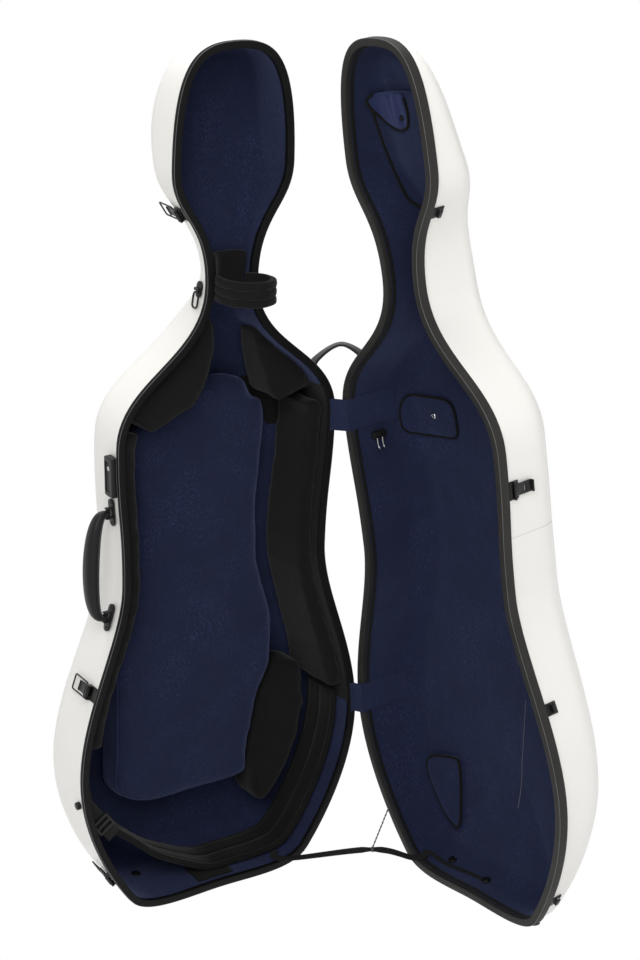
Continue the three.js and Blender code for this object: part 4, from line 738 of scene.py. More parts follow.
def add_trim(half):
    floor = face_gap + rim_face
    band = band_depths[half]
    corners = [
        (0, face_gap), (0, band), (rim_wall, band), (rim_wall, floor),
        (rim_lip, floor), (rim_lip, inner_lip_depth), (rim_inner, inner_lip_depth), (rim_inner, face_gap),
    ]
    section = rounded([Vector(c) for c in corners], trim_rounding, 3)
    rings = [[inset_point(s, inset, ways[half] * y) for s in stations] for inset, y in section]
    rings = placed([*rings, rings[0]], places[half])
    # The base's trim takes the darker copy of the rubber: painted shade.
    rubber = {"base": trim_black_painted_shade, "lid": trim_grey}[half]
    return loft(f"{half}_edge_trim", rings, rubber, half, replaces=[f"{half}_rim"], slot="rim")


for half in ways:
    trim = add_trim(half)
    print(trim.name, len(trim.data.polygons))

# %% [markdown]
# ## Rigid fittings
# Latches, catches, hinges, brackets and the lock are pressed or moulded parts. Each starts
# from its CAD solid: loose triangles are merged, flat faces joined, and every real edge is
# rounded, since no made part has a knife edge.

# %% Fittings with rounded edges
edge_angle = math.radians(40)
flat_angle = math.radians(2)
least_facing = 0.9
latches = ("bottom", "lower", "neck", "top")


def flat_faced(source):
    """A CAD solid with its flat faces joined."""
    bm = merged_copy(source)
    bmesh.ops.dissolve_limit(bm, angle_limit=flat_angle, verts=bm.verts, edges=bm.edges)
    return bm


def round_edges(bm, radius, steps=2):
    edges = [e for e in bm.edges if e.is_manifold and e.calc_face_angle() > edge_angle]
    options = dict(segments=steps, profile=0.5, material=-1, affect="EDGES", clamp_overlap=True)
    bmesh.ops.bevel(bm, geom=edges, offset=radius * MM, **options)


def rounded_fitting(source, material, slot, body="base", radius=0.35):
    bm = flat_faced(source)
    round_edges(bm, radius)
    return finish_piece(bm, f"{source}_finished", material, body, replaces=[source], slot=slot)


for latch in latches:
    rounded_fitting(f"latch_{latch}_plate", coated_black, "black_metal")
    rounded_fitting(f"latch_{latch}_lever", coated_black, "black_metal", f"latch_{latch}_lever")
    rounded_fitting(f"catch_{latch}", coated_black, "black_metal", "lid")
rounded_fitting("hasp_plate", coated_black, "black_metal", "lid")
rounded_fitting("hasp_arm", coated_black, "black_metal", "hasp_arm")
rounded_fitting("lock_body", moulded_black, "black_metal", radius=0.6)
for end in ("lower", "upper"):
    rounded_fitting(f"handle_bracket_{end}", moulded_black, "black_metal", radius=0.5)
    for half in ways:
        rounded_fitting(f"hinge_{end}_{half}", bright_steel, "steel", half, 0.2)
rounded_fitting("strap_plate", moulded_black, "black_metal", radius=0.5)
rounded_fitting("band_buckle", moulded_black, "black_plastic", radius=0.8)
rounded_fitting("bow_clip", moulded_black, "black_plastic", "lid", 0.5)
rounded_fitting("strap_stud", moulded_black, "rubber", radius=1.2)
for half in ways:
    for side in ("open", "hinge"):
        rounded_fitting(f"{half}_foot_{side}", foot_rubber, "rubber", half, 1.4)

# %% [markdown]
# ## Rivets and the lock's face
# A plate is held by domed rivets. Each plate's own flat face gives the place and direction:
# x runs along the case's edge, y stands out of the wall and z runs deeper into the half.

# %% Rivets on the plates
rivet_profile = [
    (0, -0.3), (1, -0.3), (1, 0.25), (0.86, 0.62), (0.55, 0.86), (0.3, 0.92), (0.24, 0.7), (0, 0.66),
]


def turned_rings(matrix, profile, radius, rise, sides=14):
    """Rings about the matrix's y axis; the profile holds shares of the radius and the rise."""
    rings = []
    for across, up in profile:
        far = across * radius
        rings.append([matrix @ Vector((far * c, up * rise, far * s)) for c, s in circle(sides)])
    return rings


def turned_piece(name, matrix, profile, radius, rise, material, body, sides=20):
    return loft(name, turned_rings(matrix, profile, radius, rise, sides), material, body)


def plate_axes(source, half):
    """A matrix in millimetres on a plate's largest outward face, at the middle of its box."""
    bm = flat_faced(source)
    points = [v.co.copy() for v in bm.verts]
    local = places[half].inverted() @ middle_of(points)
    out = turns[half] @ station_near(local.z, math.copysign(1, local.x)).normal
    face = max((f for f in bm.faces if f.normal.dot(out) > least_facing), key=lambda f: f.calc_area())
    y, level = face.normal.copy(), face.calc_center_median()
    bm.free()
    x = y.cross(deeper[half]).normalized()
    to_local = Matrix((x, y, x.cross(y)))
    spread = [to_local @ p for p in points]
    middle = [(min(p[k] for p in spread) + max(p[k] for p in spread)) / 2 for k in range(3)]
    middle[1] = y.dot(level)
    return axes_at(to_local.transposed() @ Vector(middle), *to_local)


def add_rivets(name, source, half, spots, radius=1.9, rise=1.1):
    axes = plate_axes(source, half)
    bm = bmesh.new()
    for x, z in spots:
        extrude_rings(bm, turned_rings(axes @ Matrix.Translation((x, 0, z)), rivet_profile, radius, rise))
    return finish_piece(bm, name, coated_black, half)


for latch in latches:
    add_rivets(f"latch_{latch}_rivets", f"latch_{latch}_plate", "base", [(-7, -9.2), (7, -9.2)])
    add_rivets(f"catch_{latch}_rivets", f"catch_{latch}", "lid", [(-5.6, 6.6), (5.6, 6.6)])
add_rivets("hasp_rivets", "hasp_plate", "lid", [(-7, 5.2), (7, 5.2)], 1.6)
add_rivets("strap_plate_rivets", "strap_plate", "base", [(-8.6, 0), (8.6, 0)], 1.7)
for end in ("lower", "upper"):
    bracket = f"handle_bracket_{end}"
    add_rivets(f"{bracket}_rivets", bracket, "base", [(-16, 0), (16, 0)], 2.6, 1.3)

# %% Lock cylinder
cylinder_profile = [(0, -0.6), (1, -0.6), (1, 0.75), (0.9, 1), (0.34, 1), (0.3, 0.5), (0, 0.5)]
cylinder_place = plate_axes("lock_body", "base") @ Matrix.Translation((-13, 0.2, 0))
turned_piece("lock_cylinder", cylinder_place, cylinder_profile, 3.4, 1.2, bright_steel, "base")

# %% [markdown]
# ## Wire forms
# A bail is one length of coated wire bent to a loop, and so are the strap ring and the bow
# turner's prongs. A circle is lofted along each path, and turns as little as it can from one
# point to the next, as real wire does.

# %% Paths and tubes
def resampled(points, spacing, closed=False):
    """Points at an even spacing along a run."""
    run = points + [points[0]] if closed else points
    lengths = lengths_along(run)
    count = max(2, round(lengths[-1] / spacing))
    made, k = [], 0
    for i in range(count if closed else count + 1):
        place = lengths[-1] * i / count
        while k < len(run) - 2 and lengths[k + 1] < place:
            k += 1
        span = lengths[k + 1] - lengths[k]
        made.append(run[k].lerp(run[k + 1], (place - lengths[k]) / span if span else 0))
    return made


def curved(points, steps):
    """A smooth curve through every point of a run."""
    made = []
    for k, (a, b) in enumerate(zip(points, points[1:])):
        before, after = points[max(k - 1, 0)], points[min(k + 2, len(points) - 1)]
        made += interpolate_bezier(a, a + (b - before) / 6, b - (after - a) / 6, b, steps + 1)[:-1]
    return made + [points[-1].copy()]


def along_at(path, k):
    """The way a run goes at one of its points, not of unit length."""
    return path[min(k + 1, len(path) - 1)] - path[max(k - 1, 0)]


def tube_rings(path, radius, sides, closed):
    """Circles round a path; the radius in millimetres is a number, or one for each point."""
    count = len(path)
    rings, normal = [], None
    for k, point in enumerate(path):
        way = path[(k + 1) % count] - path[k - 1] if closed else along_at(path, k)
        along = way.normalized()
        normal = squared(normal or along.orthogonal(), along)
        wide = along.cross(normal)
        size = (radius if isinstance(radius, (int, float)) else radius[k]) * MM
        rings.append([point + (normal * c + wide * s) * size for c, s in circle(sides)])
    return rings + [rings[0]] if closed else rings


def add_tube(bm, path, radius, sides, closed=False):
    """Adds a wire to a bmesh; the ends of an open one are closed to a point."""
    rings = tube_rings(path, radius, sides, closed)
    if not closed:
        rings = [[path[0]] * sides, *rings, [path[-1]] * sides]
    extrude_rings(bm, rings)


def tube(name, path, radius, material, body, sides=8, closed=False):
    bm = bmesh.new()
    add_tube(bm, path, radius, sides, closed)
    return finish_piece(bm, name, material, body)


def joint_axes(joint, source, order="xz"):
    """Axes at a joint; order names the joint's own axis, then the way to the piece's middle."""
    place, axis = Vector(joints[joint]["pos_m"]), Vector(joints[joint]["axis"]).normalized()
    middle = middle_of([v.co for v in frame["nodes"][source].data.vertices]) - place
    middle = squared(middle, axis)
    third = axis.cross(middle)
    columns = {"xz": (axis, -third, middle), "xy": (axis, middle, third), "yz": (third, axis, middle)}
    return axes_at(place, *columns[order])


# %% Bails
bail_half = 11.5
bail_far = 37
bail_tip = 5.1
bail_bend = 3.2
bail_radius = 1.2
bail_corners = [
    (-bail_tip, 0), (-bail_half, 0), (-bail_half, bail_far),
    (bail_half, bail_far), (bail_half, 0), (bail_tip, 0),
]

for latch in latches:
    name = f"latch_{latch}_bail"
    axes = joint_axes(f"{name}_hinge", name)
    path = rounded([Vector((x, 0, z)) for x, z in bail_corners], bail_bend, 5, closed=False)
    bm = bmesh.new()
    add_tube(bm, [axes @ p for p in path], bail_radius, 12)
    finish_piece(bm, f"{name}_wire", coated_black, name, replaces=[name], slot="wire")

# %% Strap ring
ring_wire = 1.5
ring_width = 17
ring_length = 26
ring_neck = 2.7
ring_bend = 6.2


def add_strap_ring():
    axes = joint_axes("strap_ring_swing", "strap_ring")
    half, low, high = ring_width / 2 - ring_wire, ring_neck + ring_wire, ring_neck + ring_length - ring_wire
    corners = [(-half, low), (-half, high), (half, high), (half, low)]
    loop = rounded([axes @ Vector((x, 0, z)) for x, z in corners], ring_bend * MM, 8)
    bm = bmesh.new()
    add_tube(bm, loop, ring_wire, 12, closed=True)
    add_tube(bm, [axes @ Vector((x, 0, 0)) for x in (-3, -2.7, 2.7, 3)], [1.7, 2.1, 2.1, 1.7], 16)
    add_tube(bm, [axes @ Vector((0, 0, z)) for z in (0, ring_neck + ring_wire)], 1.6, 12)
    metal = {"replaces": ["strap_ring"], "slot": "black_metal"}
    finish_piece(bm, "strap_ring_loop", coated_black, "strap_ring", **metal)


add_strap_ring()

# %% Bow turner
turner_size = (22, 5, 10)
prong_bends = [(0, 4), (0, 14), (1.5, 20), (5, 23)]
prong_radius = 1.25


def add_bow_turner():
    axes = joint_axes("bow_spinner_turn", "bow_spinner", "yz")
    bm = bmesh.new()
    bmesh.ops.create_cube(bm, size=1.0)
    bmesh.ops.transform(bm, matrix=axes @ Matrix.Diagonal((*turner_size, 1)), verts=bm.verts)
    round_edges(bm, 1.2, 3)
    block = {"replaces": ["bow_spinner"], "slot": "black_plastic"}
    finish_piece(bm, "bow_turner_block", moulded_black, "bow_spinner", **block)
    bm = bmesh.new()
    for x in (-4.5, 4.5):
        path = curved([axes @ Vector((x, y, z)) for y, z in prong_bends], 5)
        add_tube(bm, path, prong_radius, 12)
    finish_piece(bm, "bow_turner_prongs", bright_steel, "bow_spinner", slot="steel")


add_bow_turner()

# %% [markdown]
# ## Carry handle
# The grip is two lobes of hide over a core, sewn together along a groove on each side: a thick
# outer lobe and a thin inner one. It narrows to moulded eyes that turn on the bracket pins.

# %% Carry handle
grip_rise = 26
grip_width = (11, 26)
grip_thickness = (9, 22)
grip_steps = 60
grip_sides = 40
grip_arch_power = 0.72
grip_overhang = 0.08
grip_squareness = (0.85, 0.8)
groove_turn = math.radians(118)
groove_reach = math.radians(20)
groove_depth = 0.42
eye_radius = 3.6
eye_gap = 4.5
stitch_lift = 0.15


def between(pair, share):
    return pair[0] + (pair[1] - pair[0]) * share


def grip_ring(axes, half_span, share):
    """One ring of the grip, from eye to eye as share goes from 0 to 1."""
    turn = math.pi * share
    arch = math.sin(turn)
    swell = max(arch, 0)
    x = -half_span * math.cos(turn) * (1 + grip_overhang * swell)
    y = grip_rise * swell ** grip_arch_power
    lean_in = math.atan2(grip_rise * math.cos(turn), half_span * arch + grip_thickness[0])
    wide, thick = between(grip_width, swell) / 2, between(grip_thickness, swell) / 2
    ring = []
    for k, (c, s) in enumerate(circle(grip_sides)):
        angle = 2 * math.pi * k / grip_sides
        beside = min(abs(angle - groove_turn), abs(angle - 2 * math.pi + groove_turn))
        pinch = 1 - groove_depth * max(0, 1 - beside / groove_reach) * min(1, 3 * arch)
        across = thick * squarish(c, grip_squareness[0])
        up = wide * pinch * squarish(s, grip_squareness[1])
        ring.append(axes @ Vector((x - across * math.sin(lean_in), y + across * math.cos(lean_in), up)))
    return ring


def add_stitches(name, path, material, body, length=2.4, gap=1.5, radius=0.32):
    """A row of sewn stitches: short tapered threads laid along a path in metres."""
    marks = resampled(path, (length + gap) * MM)
    bm = bmesh.new()
    for a, b in zip(marks, marks[1:]):
        end = a.lerp(b, length / (length + gap))
        thread = [a.lerp(end, t) for t in (0, 0.2, 0.8, 1)]
        add_tube(bm, thread, [v * radius for v in (0.5, 1, 1, 0.5)], 5)
    return finish_piece(bm, name, material, body)


def add_carry_handle():
    axes = joint_axes("carry_handle_swing", "carry_handle", "xy")
    points = [axes.inverted() @ v.co for v in frame["nodes"]["carry_handle"].data.vertices]
    half_span = max(p.x for p in points if abs(p.y) < eye_radius and abs(p.z) > eye_gap)
    print(f"carry handle: half its span is {half_span:.1f} mm")
    rings = [grip_ring(axes, half_span, k / grip_steps) for k in range(grip_steps + 1)]
    bm = bmesh.new()
    extrude_capped(bm, rings)
    for x in (-half_span, half_span):
        eye = [axes @ Vector((x + along, 0, 0)) for along in (-5.8, -5.3, 5.3, 5.8)]
        add_tube(bm, eye, [3.2, eye_radius, eye_radius, 3.2], 24)
    finish_piece(bm, "carry_grip", hide_black, "carry_handle", replaces=["carry_handle"], slot="handle")
    for side, index in (("front", 12), ("back", 28)):
        row = []
        for ring in rings[8:-8]:
            out = (ring[index] - ring[index - grip_sides // 2]).normalized()
            row.append(ring[index] + out * stitch_lift * MM)
        add_stitches(f"carry_grip_stitches_{side}", row, thread_grey, "carry_handle")
    # Two grey cords along the grooves are painted highlights on the outer lobe's border.
    for side, index in (("front", 14), ("back", 26)):
        row = [ring[index] for ring in rings[5:-5]]
        tube(f"carry_grip_painted_highlight_{side}", row, 0.9, thread_grey, "carry_handle")


add_carry_handle()

# %% [markdown]
# ## Cushions and pads
# Each cushion is sewn cloth over foam. Its CAD solid, a little smaller, is remeshed to an
# even net and blown up by a short cloth simulation, so that its faces crown and its corners
# fill. No point moves further than a cap or leaves the space of its CAD solid.

# %% Pads from a short inflation
Pad = namedtuple("Pad", "source name material slot shrink voxel cap fill")
pads = [
    Pad("back_cushion", "plush_back_cushion", navy_plush, "plush", 2.5, 6.0, 8, 0.8),
    Pad("side_pad_open", "side_pad_open_cover", black_plush, "foam", 0.8, 4.0, 6, 0.7),
    Pad("side_pad_hinge", "side_pad_hinge_cover", black_plush, "foam", 0.8, 4.0, 6, 0.7),
    Pad("shoulder_pad_open", "shoulder_pad_open_cover", black_plush, "foam", 2.5, 5.0, 8, 0.75),
    Pad("shoulder_pad_hinge", "shoulder_pad_hinge_cover", black_plush, "foam", 2.5, 5.0, 8, 0.75),
    Pad("lower_pad_hinge", "lower_pad_cover", black_plush, "foam", 2.5, 5.0, 8, 0.75),
    Pad("neck_cradle", "neck_cradle_cover", black_plush, "foam", 2.0, 4.0, 6, 0.8),
]
inflate_frames = 20
draw_in = 0.6
wall_clearance = 0.2


def net_of(pad):
    """The pad's solid, drawn in a little and remeshed to an even net."""
    bm = merged_copy(pad.source)
    bm.normal_update()
    for vertex in bm.verts:
        vertex.co -= vertex.normal * pad.shrink * draw_in * MM
    piece = finish_piece(bm, pad.name, pad.material, None)
    modifier(piece, "REMESH", mode="VOXEL", voxel_size=pad.voxel * MM)
    apply_modifiers(piece)
    modifier(piece, "SMOOTH", factor=0.5, iterations=10)
    return apply_modifiers(piece)


def inflate(pieces):
    """Runs one short cloth simulation on every piece and keeps its last shape."""
    for piece in pieces:
        cloth = piece.modifiers.new("Inflation", "CLOTH")
        settings = cloth.settings
        settings.quality = 4
        settings.mass = 0.3
        settings.tension_stiffness = settings.compression_stiffness = 12
        settings.shear_stiffness = 6
        settings.bending_stiffness = 0.4
        settings.use_pressure = True
        settings.uniform_pressure_force = 4
        settings.effector_weights.gravity = 0
        cloth.collision_settings.use_collision = False
        cloth.point_cache.frame_start = 1
        cloth.point_cache.frame_end = inflate_frames
    scene = bpy.context.scene
    for number in range(1, inflate_frames + 1):
        scene.frame_set(number)
    for piece in pieces:
        apply_modifiers(piece)
    scene.frame_set(1)


def held_inside(piece, start, pad):
    """Keeps each point near its start and inside the pad's CAD solid."""
    solid = merged_copy(pad.source)
    tree = BVHTree.FromBMesh(solid)
    cap = pad.cap * MM
    for vertex, before in zip(piece.data.vertices, start):
        step = vertex.co - before
        if step.length > cap:
            vertex.co = before + step * (cap / step.length)
        near, normal, _, _ = tree.find_nearest(vertex.co)
        if (vertex.co - near).dot(normal) > -wall_clearance * MM:
            vertex.co = near - normal * wall_clearance * MM
    solid.free()


def add_pads():
    pieces = [net_of(pad) for pad in pads]
    starts = [[v.co.copy() for v in piece.data.vertices] for piece in pieces]
    inflate(pieces)
    for pad, piece, start in zip(pads, pieces, starts):
        held_inside(piece, start, pad)
        modifier(piece, "SMOOTH", factor=0.5, iterations=12)
        modifier(piece, "SUBSURF", levels=1, render_levels=1)
        apply_modifiers(piece)
        piece.data.shade_smooth()
        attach(piece, "base")
        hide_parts(pad.source)
        print(pad.name, len(piece.data.polygons))
    return dict(zip([pad.source for pad in pads], pieces))


pad_pieces = add_pads()

# %% [markdown]
# ## Seams of the pads
# A cover is sewn where two panels of cloth meet. A thin cord of piping lies in each seam. Its
# line is found by cutting the finished pad with a plane and following the cut.

# %% Piped seams
def cut_loops(piece, point, normal):
    """The closed lines where a plane meets a piece, longest first."""
    bm = bmesh.new()
    bm.from_mesh(piece.data)
    geometry = [*bm.verts, *bm.edges, *bm.faces]
    cut = bmesh.ops.bisect_plane(bm, geom=geometry, plane_co=point, plane_no=normal)["geom_cut"]
    edges = {g for g in cut if isinstance(g, bmesh.types.BMEdge)}
    loops = []
    while edges:
        first = edges.pop()
        run = [first.verts[0], first.verts[1]]
        onward = True
        while onward:
            onward = next((e for e in run[-1].link_edges if e in edges), None)
            if onward:
                edges.remove(onward)
                run.append(onward.other_vert(run[-1]))
        loops.append([v.co.copy() for v in run])
    bm.free()
    return sorted(loops, key=len, reverse=True)


seam_spacing = 5
seam_rounds = 3


def relaxed(points, rounds):
    """Evens a closed run of points."""
    for _ in range(rounds):
        threes = zip(points[-1:] + points, points, points[1:] + points[:1])
        points = [(before + point * 2 + after) / 4 for before, point, after in threes]
    return points


def add_seam(name, source, depth, radius, material):
    """Piping round a pad where a plane at one depth of the base cuts it."""
    loop = cut_loops(pad_pieces[source], to_base @ Vector((0, depth, 0)), deeper["base"])[0]
    path = relaxed(resampled(loop, seam_spacing * MM)[:-1], seam_rounds)
    tube(name, path, radius, material, "base", closed=True)
    print(name, "length", round(lengths_along(path)[-1], 3))


add_seam("cushion_piping", "back_cushion", 86.5, 0.9, navy_piping)
add_seam("shoulder_open_seam", "shoulder_pad_open", 27, 0.9, black_piping)
add_seam("shoulder_hinge_seam", "shoulder_pad_hinge", 27, 0.9, black_piping)
add_seam("lower_pad_seam", "lower_pad_hinge", 67, 1.1, black_piping)

# %% [markdown]
# ## Suspension band
# A padded band carries the instrument at the lower end. It is lofted along a line that is free
# over the open side's corner and lies on the wall at both ends. Three lines of sewing pull its
# face in, and a bound edge runs along its front and its back.

# %% Suspension band
band_thickness = 9
band_front = 28
band_width = 70
band_top = 270
band_seams = (0.08, 0.5, 0.92)
band_swell = 1.9
band_seam_reach = 0.1
band_edge_share = 0.06
band_sink = 0.4
band_back = 0.2
band_face_steps = 24
# the outer line over the open side's corner: across and height
band_line = [(-230, 225), (-214, 172), (-184, 136), (-145, 103), (-102, 66), (-50, 37)]


def inner_inset(station, half, offset, depth):
    """How far in a half's inner face lies at a depth."""
    z = station.origin.z
    fillet = eased(fillet_table, z)
    straight = depth_at(half, z) - fillet
    if depth <= straight:
        return shell_inset + offset + draft_share * depth
    turn = math.asin(min((depth - straight) / (fillet - offset), 1))
    return shell_inset + draft_share * straight + fillet - (fillet - offset) * math.cos(turn)


def band_path():
    """The band's outer line: on the wall at both ends, free over the open side's corner."""
    inset = shell_inset + pad_offset + draft_share * (band_front + band_width)
    ends = [inset_point(station_near(band_top, side), inset, 0) for side in (-1, 1)]
    free = [Vector((across, 0, z)) for across, z in band_line]
    walled = [inset_point(s, inset, 0) for s in hinge_row if s.origin.z < band_top] + [ends[1]]
    return resampled(curved([ends[0], *free, *resampled(walled, 45)], 10), 6)


def band_section(point, inward):
    section = []
    for k in range(band_face_steps + 1):
        share = k / band_face_steps
        seam = min(abs(share - s) for s in band_seams)
        swell = band_swell * min(seam / band_seam_reach, 1) ** 0.5
        edge = 1 - min(min(share, 1 - share) / band_edge_share, 1)
        rise = band_thickness * (1 - 0.5 * edge ** 2) + swell - band_sink
        section.append((rise, band_front + band_width * share))
    low, high = band_front, band_front + band_width
    side = band_thickness * 0.2
    section += [(side, high), (band_back, high - 2), (band_back, low + 2), (side, low)]
    return [point + inward * rise + Vector((0, y, 0)) for rise, y in section]


def add_band():
    path = band_path()
    rings = []
    for k, point in enumerate(path):
        along = along_at(path, k)
        rings.append(band_section(point, Vector((-along.z, 0, along.x)).normalized()))
    rings = placed(rings, to_base)
    soft = {"replaces": ["suspension_band"], "slot": "foam"}
    band = loft("suspension_band_cover", rings, black_plush, "base", capped=True, **soft)
    ripple(band, 0.5, 30.0)
    for name, index in (("front", 2), ("middle", 12), ("back", 22)):
        row = [ring[index] for ring in rings[2:-2]]
        add_stitches(f"band_stitches_{name}", row, thread_grey, "base", 3.2, 2.6, 0.22)
    for name, index, beside in (("front", 0, 28), ("back", band_face_steps, band_face_steps - 1)):
        row = [ring[index].lerp(ring[beside], 0.4) for ring in rings]
        tube(f"band_binding_{name}", row, 1.3, black_piping, "base")
    print("band length", round(lengths_along(path)[-1], 1), "mm")


add_band()

# %% Webbing that holds the band
webbing_start = (-232, 200)
webbing_end = (-180, 128)
webbing_width = 22
webbing_thickness = 1.6
webbing_sag = 0.35
webbing_steps = 24
strap_squareness = (0.25, 0.6)


def flat_strip(path, ways_across, width, thickness):
    """Rings of a flat strap with rounded edges along a path."""
    rings = []
    for k, point in enumerate(path):
        along = along_at(path, k).normalized()
        across = squared(ways_across[k], along) * width / 2
        thick = along.cross(across).normalized() * thickness / 2
        sides = [(squarish(c, strap_squareness[0]), squarish(s, strap_squareness[1])) for c, s in circle(16)]
        rings.append([point + across * x + thick * y for x, y in sides])
    return rings


def add_band_webbing():
    middle = band_front - seat_gap - webbing_thickness / 2
    end = Vector((webbing_end[0], middle, webbing_end[1]))
    station = station_near(webbing_start[1], -1)
    wall = inset_point(station, inner_inset(station, "base", pad_offset, middle) + 1.0, middle)
    across = Vector((0, 1, 0)).cross((end - wall).normalized())
    path = [wall + (end - wall) * (k / webbing_steps) for k in range(webbing_steps + 1)]
    for k, point in enumerate(path):
        point.y -= webbing_sag * math.sin(math.pi * k / webbing_steps)
    rings = placed(flat_strip(path, [across] * len(path), webbing_width, webbing_thickness), to_base)
    woven_strap = {"replaces": ["band_webbing"], "slot": "webbing"}
    loft("band_webbing_strap", rings, black_webbing, "base", capped=True, **woven_strap)
    for name, side in (("left", -1), ("right", 1)):
        offset = across * side * (webbing_width / 2 - 2) + Vector((0, -0.85, 0))
        edge = [to_base @ (p + offset) for p in path[2:-2]]
        add_stitches(f"webbing_stitches_{name}", edge, thread_grey, "base", 2.2, 1.6, 0.28)


add_band_webbing()

# %% [markdown]
# ## Neck strap
# A padded strap closes over the neck. Its outer face has three padded channels with sewing
# between them.

# %% Neck strap
neck_path = [(-24, 8.4), (-27, -14), (-17, -42), (9, -57), (33, -52), (43, -34), (37, -12), (22, 2)]
neck_low = 951
neck_height = 38
neck_thickness = 9
neck_channels = 3
neck_channel_depth = 2.2
neck_channel_power = 0.45
neck_edge_share = 0.08
neck_face_steps = 30
neck_back_shares = (0.985, 0.9, 0.6, 0.3, 0.1, 0.015)


def neck_ring(point, along):
    out = Vector((along.y, -along.x, 0))
    section = []
    for k in range(neck_face_steps + 1):
        share = k / neck_face_steps
        bulge = abs(math.sin(math.pi * neck_channels * share)) ** neck_channel_power
        edge = 1 - min(min(share, 1 - share) / neck_edge_share, 1)
        fall = edge ** 2 * neck_thickness * 0.35
        section.append((neck_thickness / 2 - neck_channel_depth * (1 - bulge) - fall, share))
    for share in neck_back_shares:
        corner = 0.8 if share in (neck_back_shares[0], neck_back_shares[-1]) else 0
        section.append((corner - neck_thickness / 2, share))
    return [point + out * reach + Vector((0, 0, neck_low + neck_height * share)) for reach, share in section]


def add_neck_strap():
    path = resampled(curved([Vector((x, y, 0)) for x, y in neck_path], 10), 2.5)
    rings = placed([neck_ring(p, along_at(path, k).normalized()) for k, p in enumerate(path)], to_base)
    soft = {"replaces": ["neck_strap"], "slot": "foam"}
    strap = loft("neck_strap_padded", rings, black_plush, "base", capped=True, **soft)
    ripple(strap, 0.6, 60.0)
    pieces = [strap]
    for name, index in (("low", 10), ("high", 20)):
        row = [ring[index] for ring in rings[1:-1]]
        pieces.append(add_stitches(f"neck_strap_stitches_{name}", row, thread_grey, "base", 2.6, 2.2, 0.26))
    for piece in pieces:
        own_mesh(piece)
    print("neck strap length", round(lengths_along(path)[-1], 1), "mm")


add_neck_strap()

# %% [markdown]
# ## Cloth and straps that cross the hinge
# The hinge covers, the rear handle, the stay and its elastic are held on both halves. Each is
# modelled in its open shape.

# %% Hinge covers
covers = {"lower": 268, "upper": 749}
cover_height = 50
cover_thickness = 1.3
cover_steps = 20
cover_insets = (9, 6.5, 4, 2.25)
cover_lift = 0.9
cover_stand = 1.1
cover_sag = 0.15
hem_lift = 0.75
cover_depths = [-1.1, 2, 5, 8.3, 14, 20, 27, 34, 41, 48, 55, 61.5, 68, 75, 82]


def cover_line(station):
    """Across the gap from the base's trim and along the lid's inner wall, in metres."""
    line = [to_base @ inset_point(station, inset, -cover_lift) for inset in cover_insets]
    for depth in cover_depths:
        wall = inner_inset(station, "lid", lining_face, max(depth, 0))
        line.append(to_lid @ inset_point(station, max(rim_inner, wall) + cover_stand, -depth))
    return line


def add_cover(name, middle):
    station = station_near(middle, 1)
    base_edge = to_base @ inset_point(station, cover_insets[-1], -cover_lift)
    lid_edge = to_lid @ inset_point(station, rim_inner + cover_stand, cover_stand)
    lines = []
    for k in range(cover_steps + 1):
        line = cover_line(station_near(middle + cover_height * (k / cover_steps - 0.5), 1))
        sag = cover_sag * MM * math.sin(math.pi * 4 * k / cover_steps)
        lines.append([p + Vector((0, 0, sag * math.sin(i))) for i, p in enumerate(line)])
    across = [low.lerp(high, 0.5) for low, high in zip(lines[0], lines[-1])]
    normals = [along_at(across, k).cross(Vector((0, 0, 1))).normalized() for k in range(len(across))]

    def moved(line, rise):
        return [p + n * rise * MM for p, n in zip(line, normals)]

    rings = []
    for k, line in enumerate(lines):
        edge, hem = k in (0, cover_steps), k in (1, cover_steps - 1)
        half = cover_thickness / 2 - 0.3 * edge + 0.22 * hem
        rings.append(moved(line, half) + moved(line, -half)[::-1])
    cloth = {"replaces": [f"hinge_cover_{name}"], "slot": "plush"}
    piece = loft(f"hinge_cover_{name}_cloth", rings, cover_plush, None, capped=True, **cloth)
    length = lengths_along(across)[-1]
    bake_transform(piece)
    for end, row in (("low", lines[1]), ("high", lines[-2])):
        for face, rise in (("front", hem_lift), ("back", -hem_lift)):
            hem_name = f"cover_{name}_{end}_stitches_{face}"
            hem = add_stitches(hem_name, moved(row, rise)[5:], black_piping, None, 2.2, 1.6, 0.25)
            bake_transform(hem)
    return length


for name, middle in covers.items():
    print("hinge cover", name, "length", round(add_cover(name, middle), 4))

# %% Stay strap
stay_across = {"base": 126, "lid": 147}
stay_width = 12
stay_thickness = 1.8
stay_lift = 1.8
stay_knot_share = 0.68
stay_rise = 15
stay_gather = 0.38
stay_gather_points = 3


def stay_point(half, depth, y):
    level = rim_inner + stay_lift + stay_thickness / 2 + abs(depth) * draft_share
    return places[half] @ inset_point(station_across(stay_across[half], 1), level, ways[half] * y)


def stay_way(half):
    """Across the stay where it is held on a half."""
    here, there = [station_across(stay_across[half] - step, 1).origin for step in (0, 6)]
    return turns[half] @ (here - there).normalized()


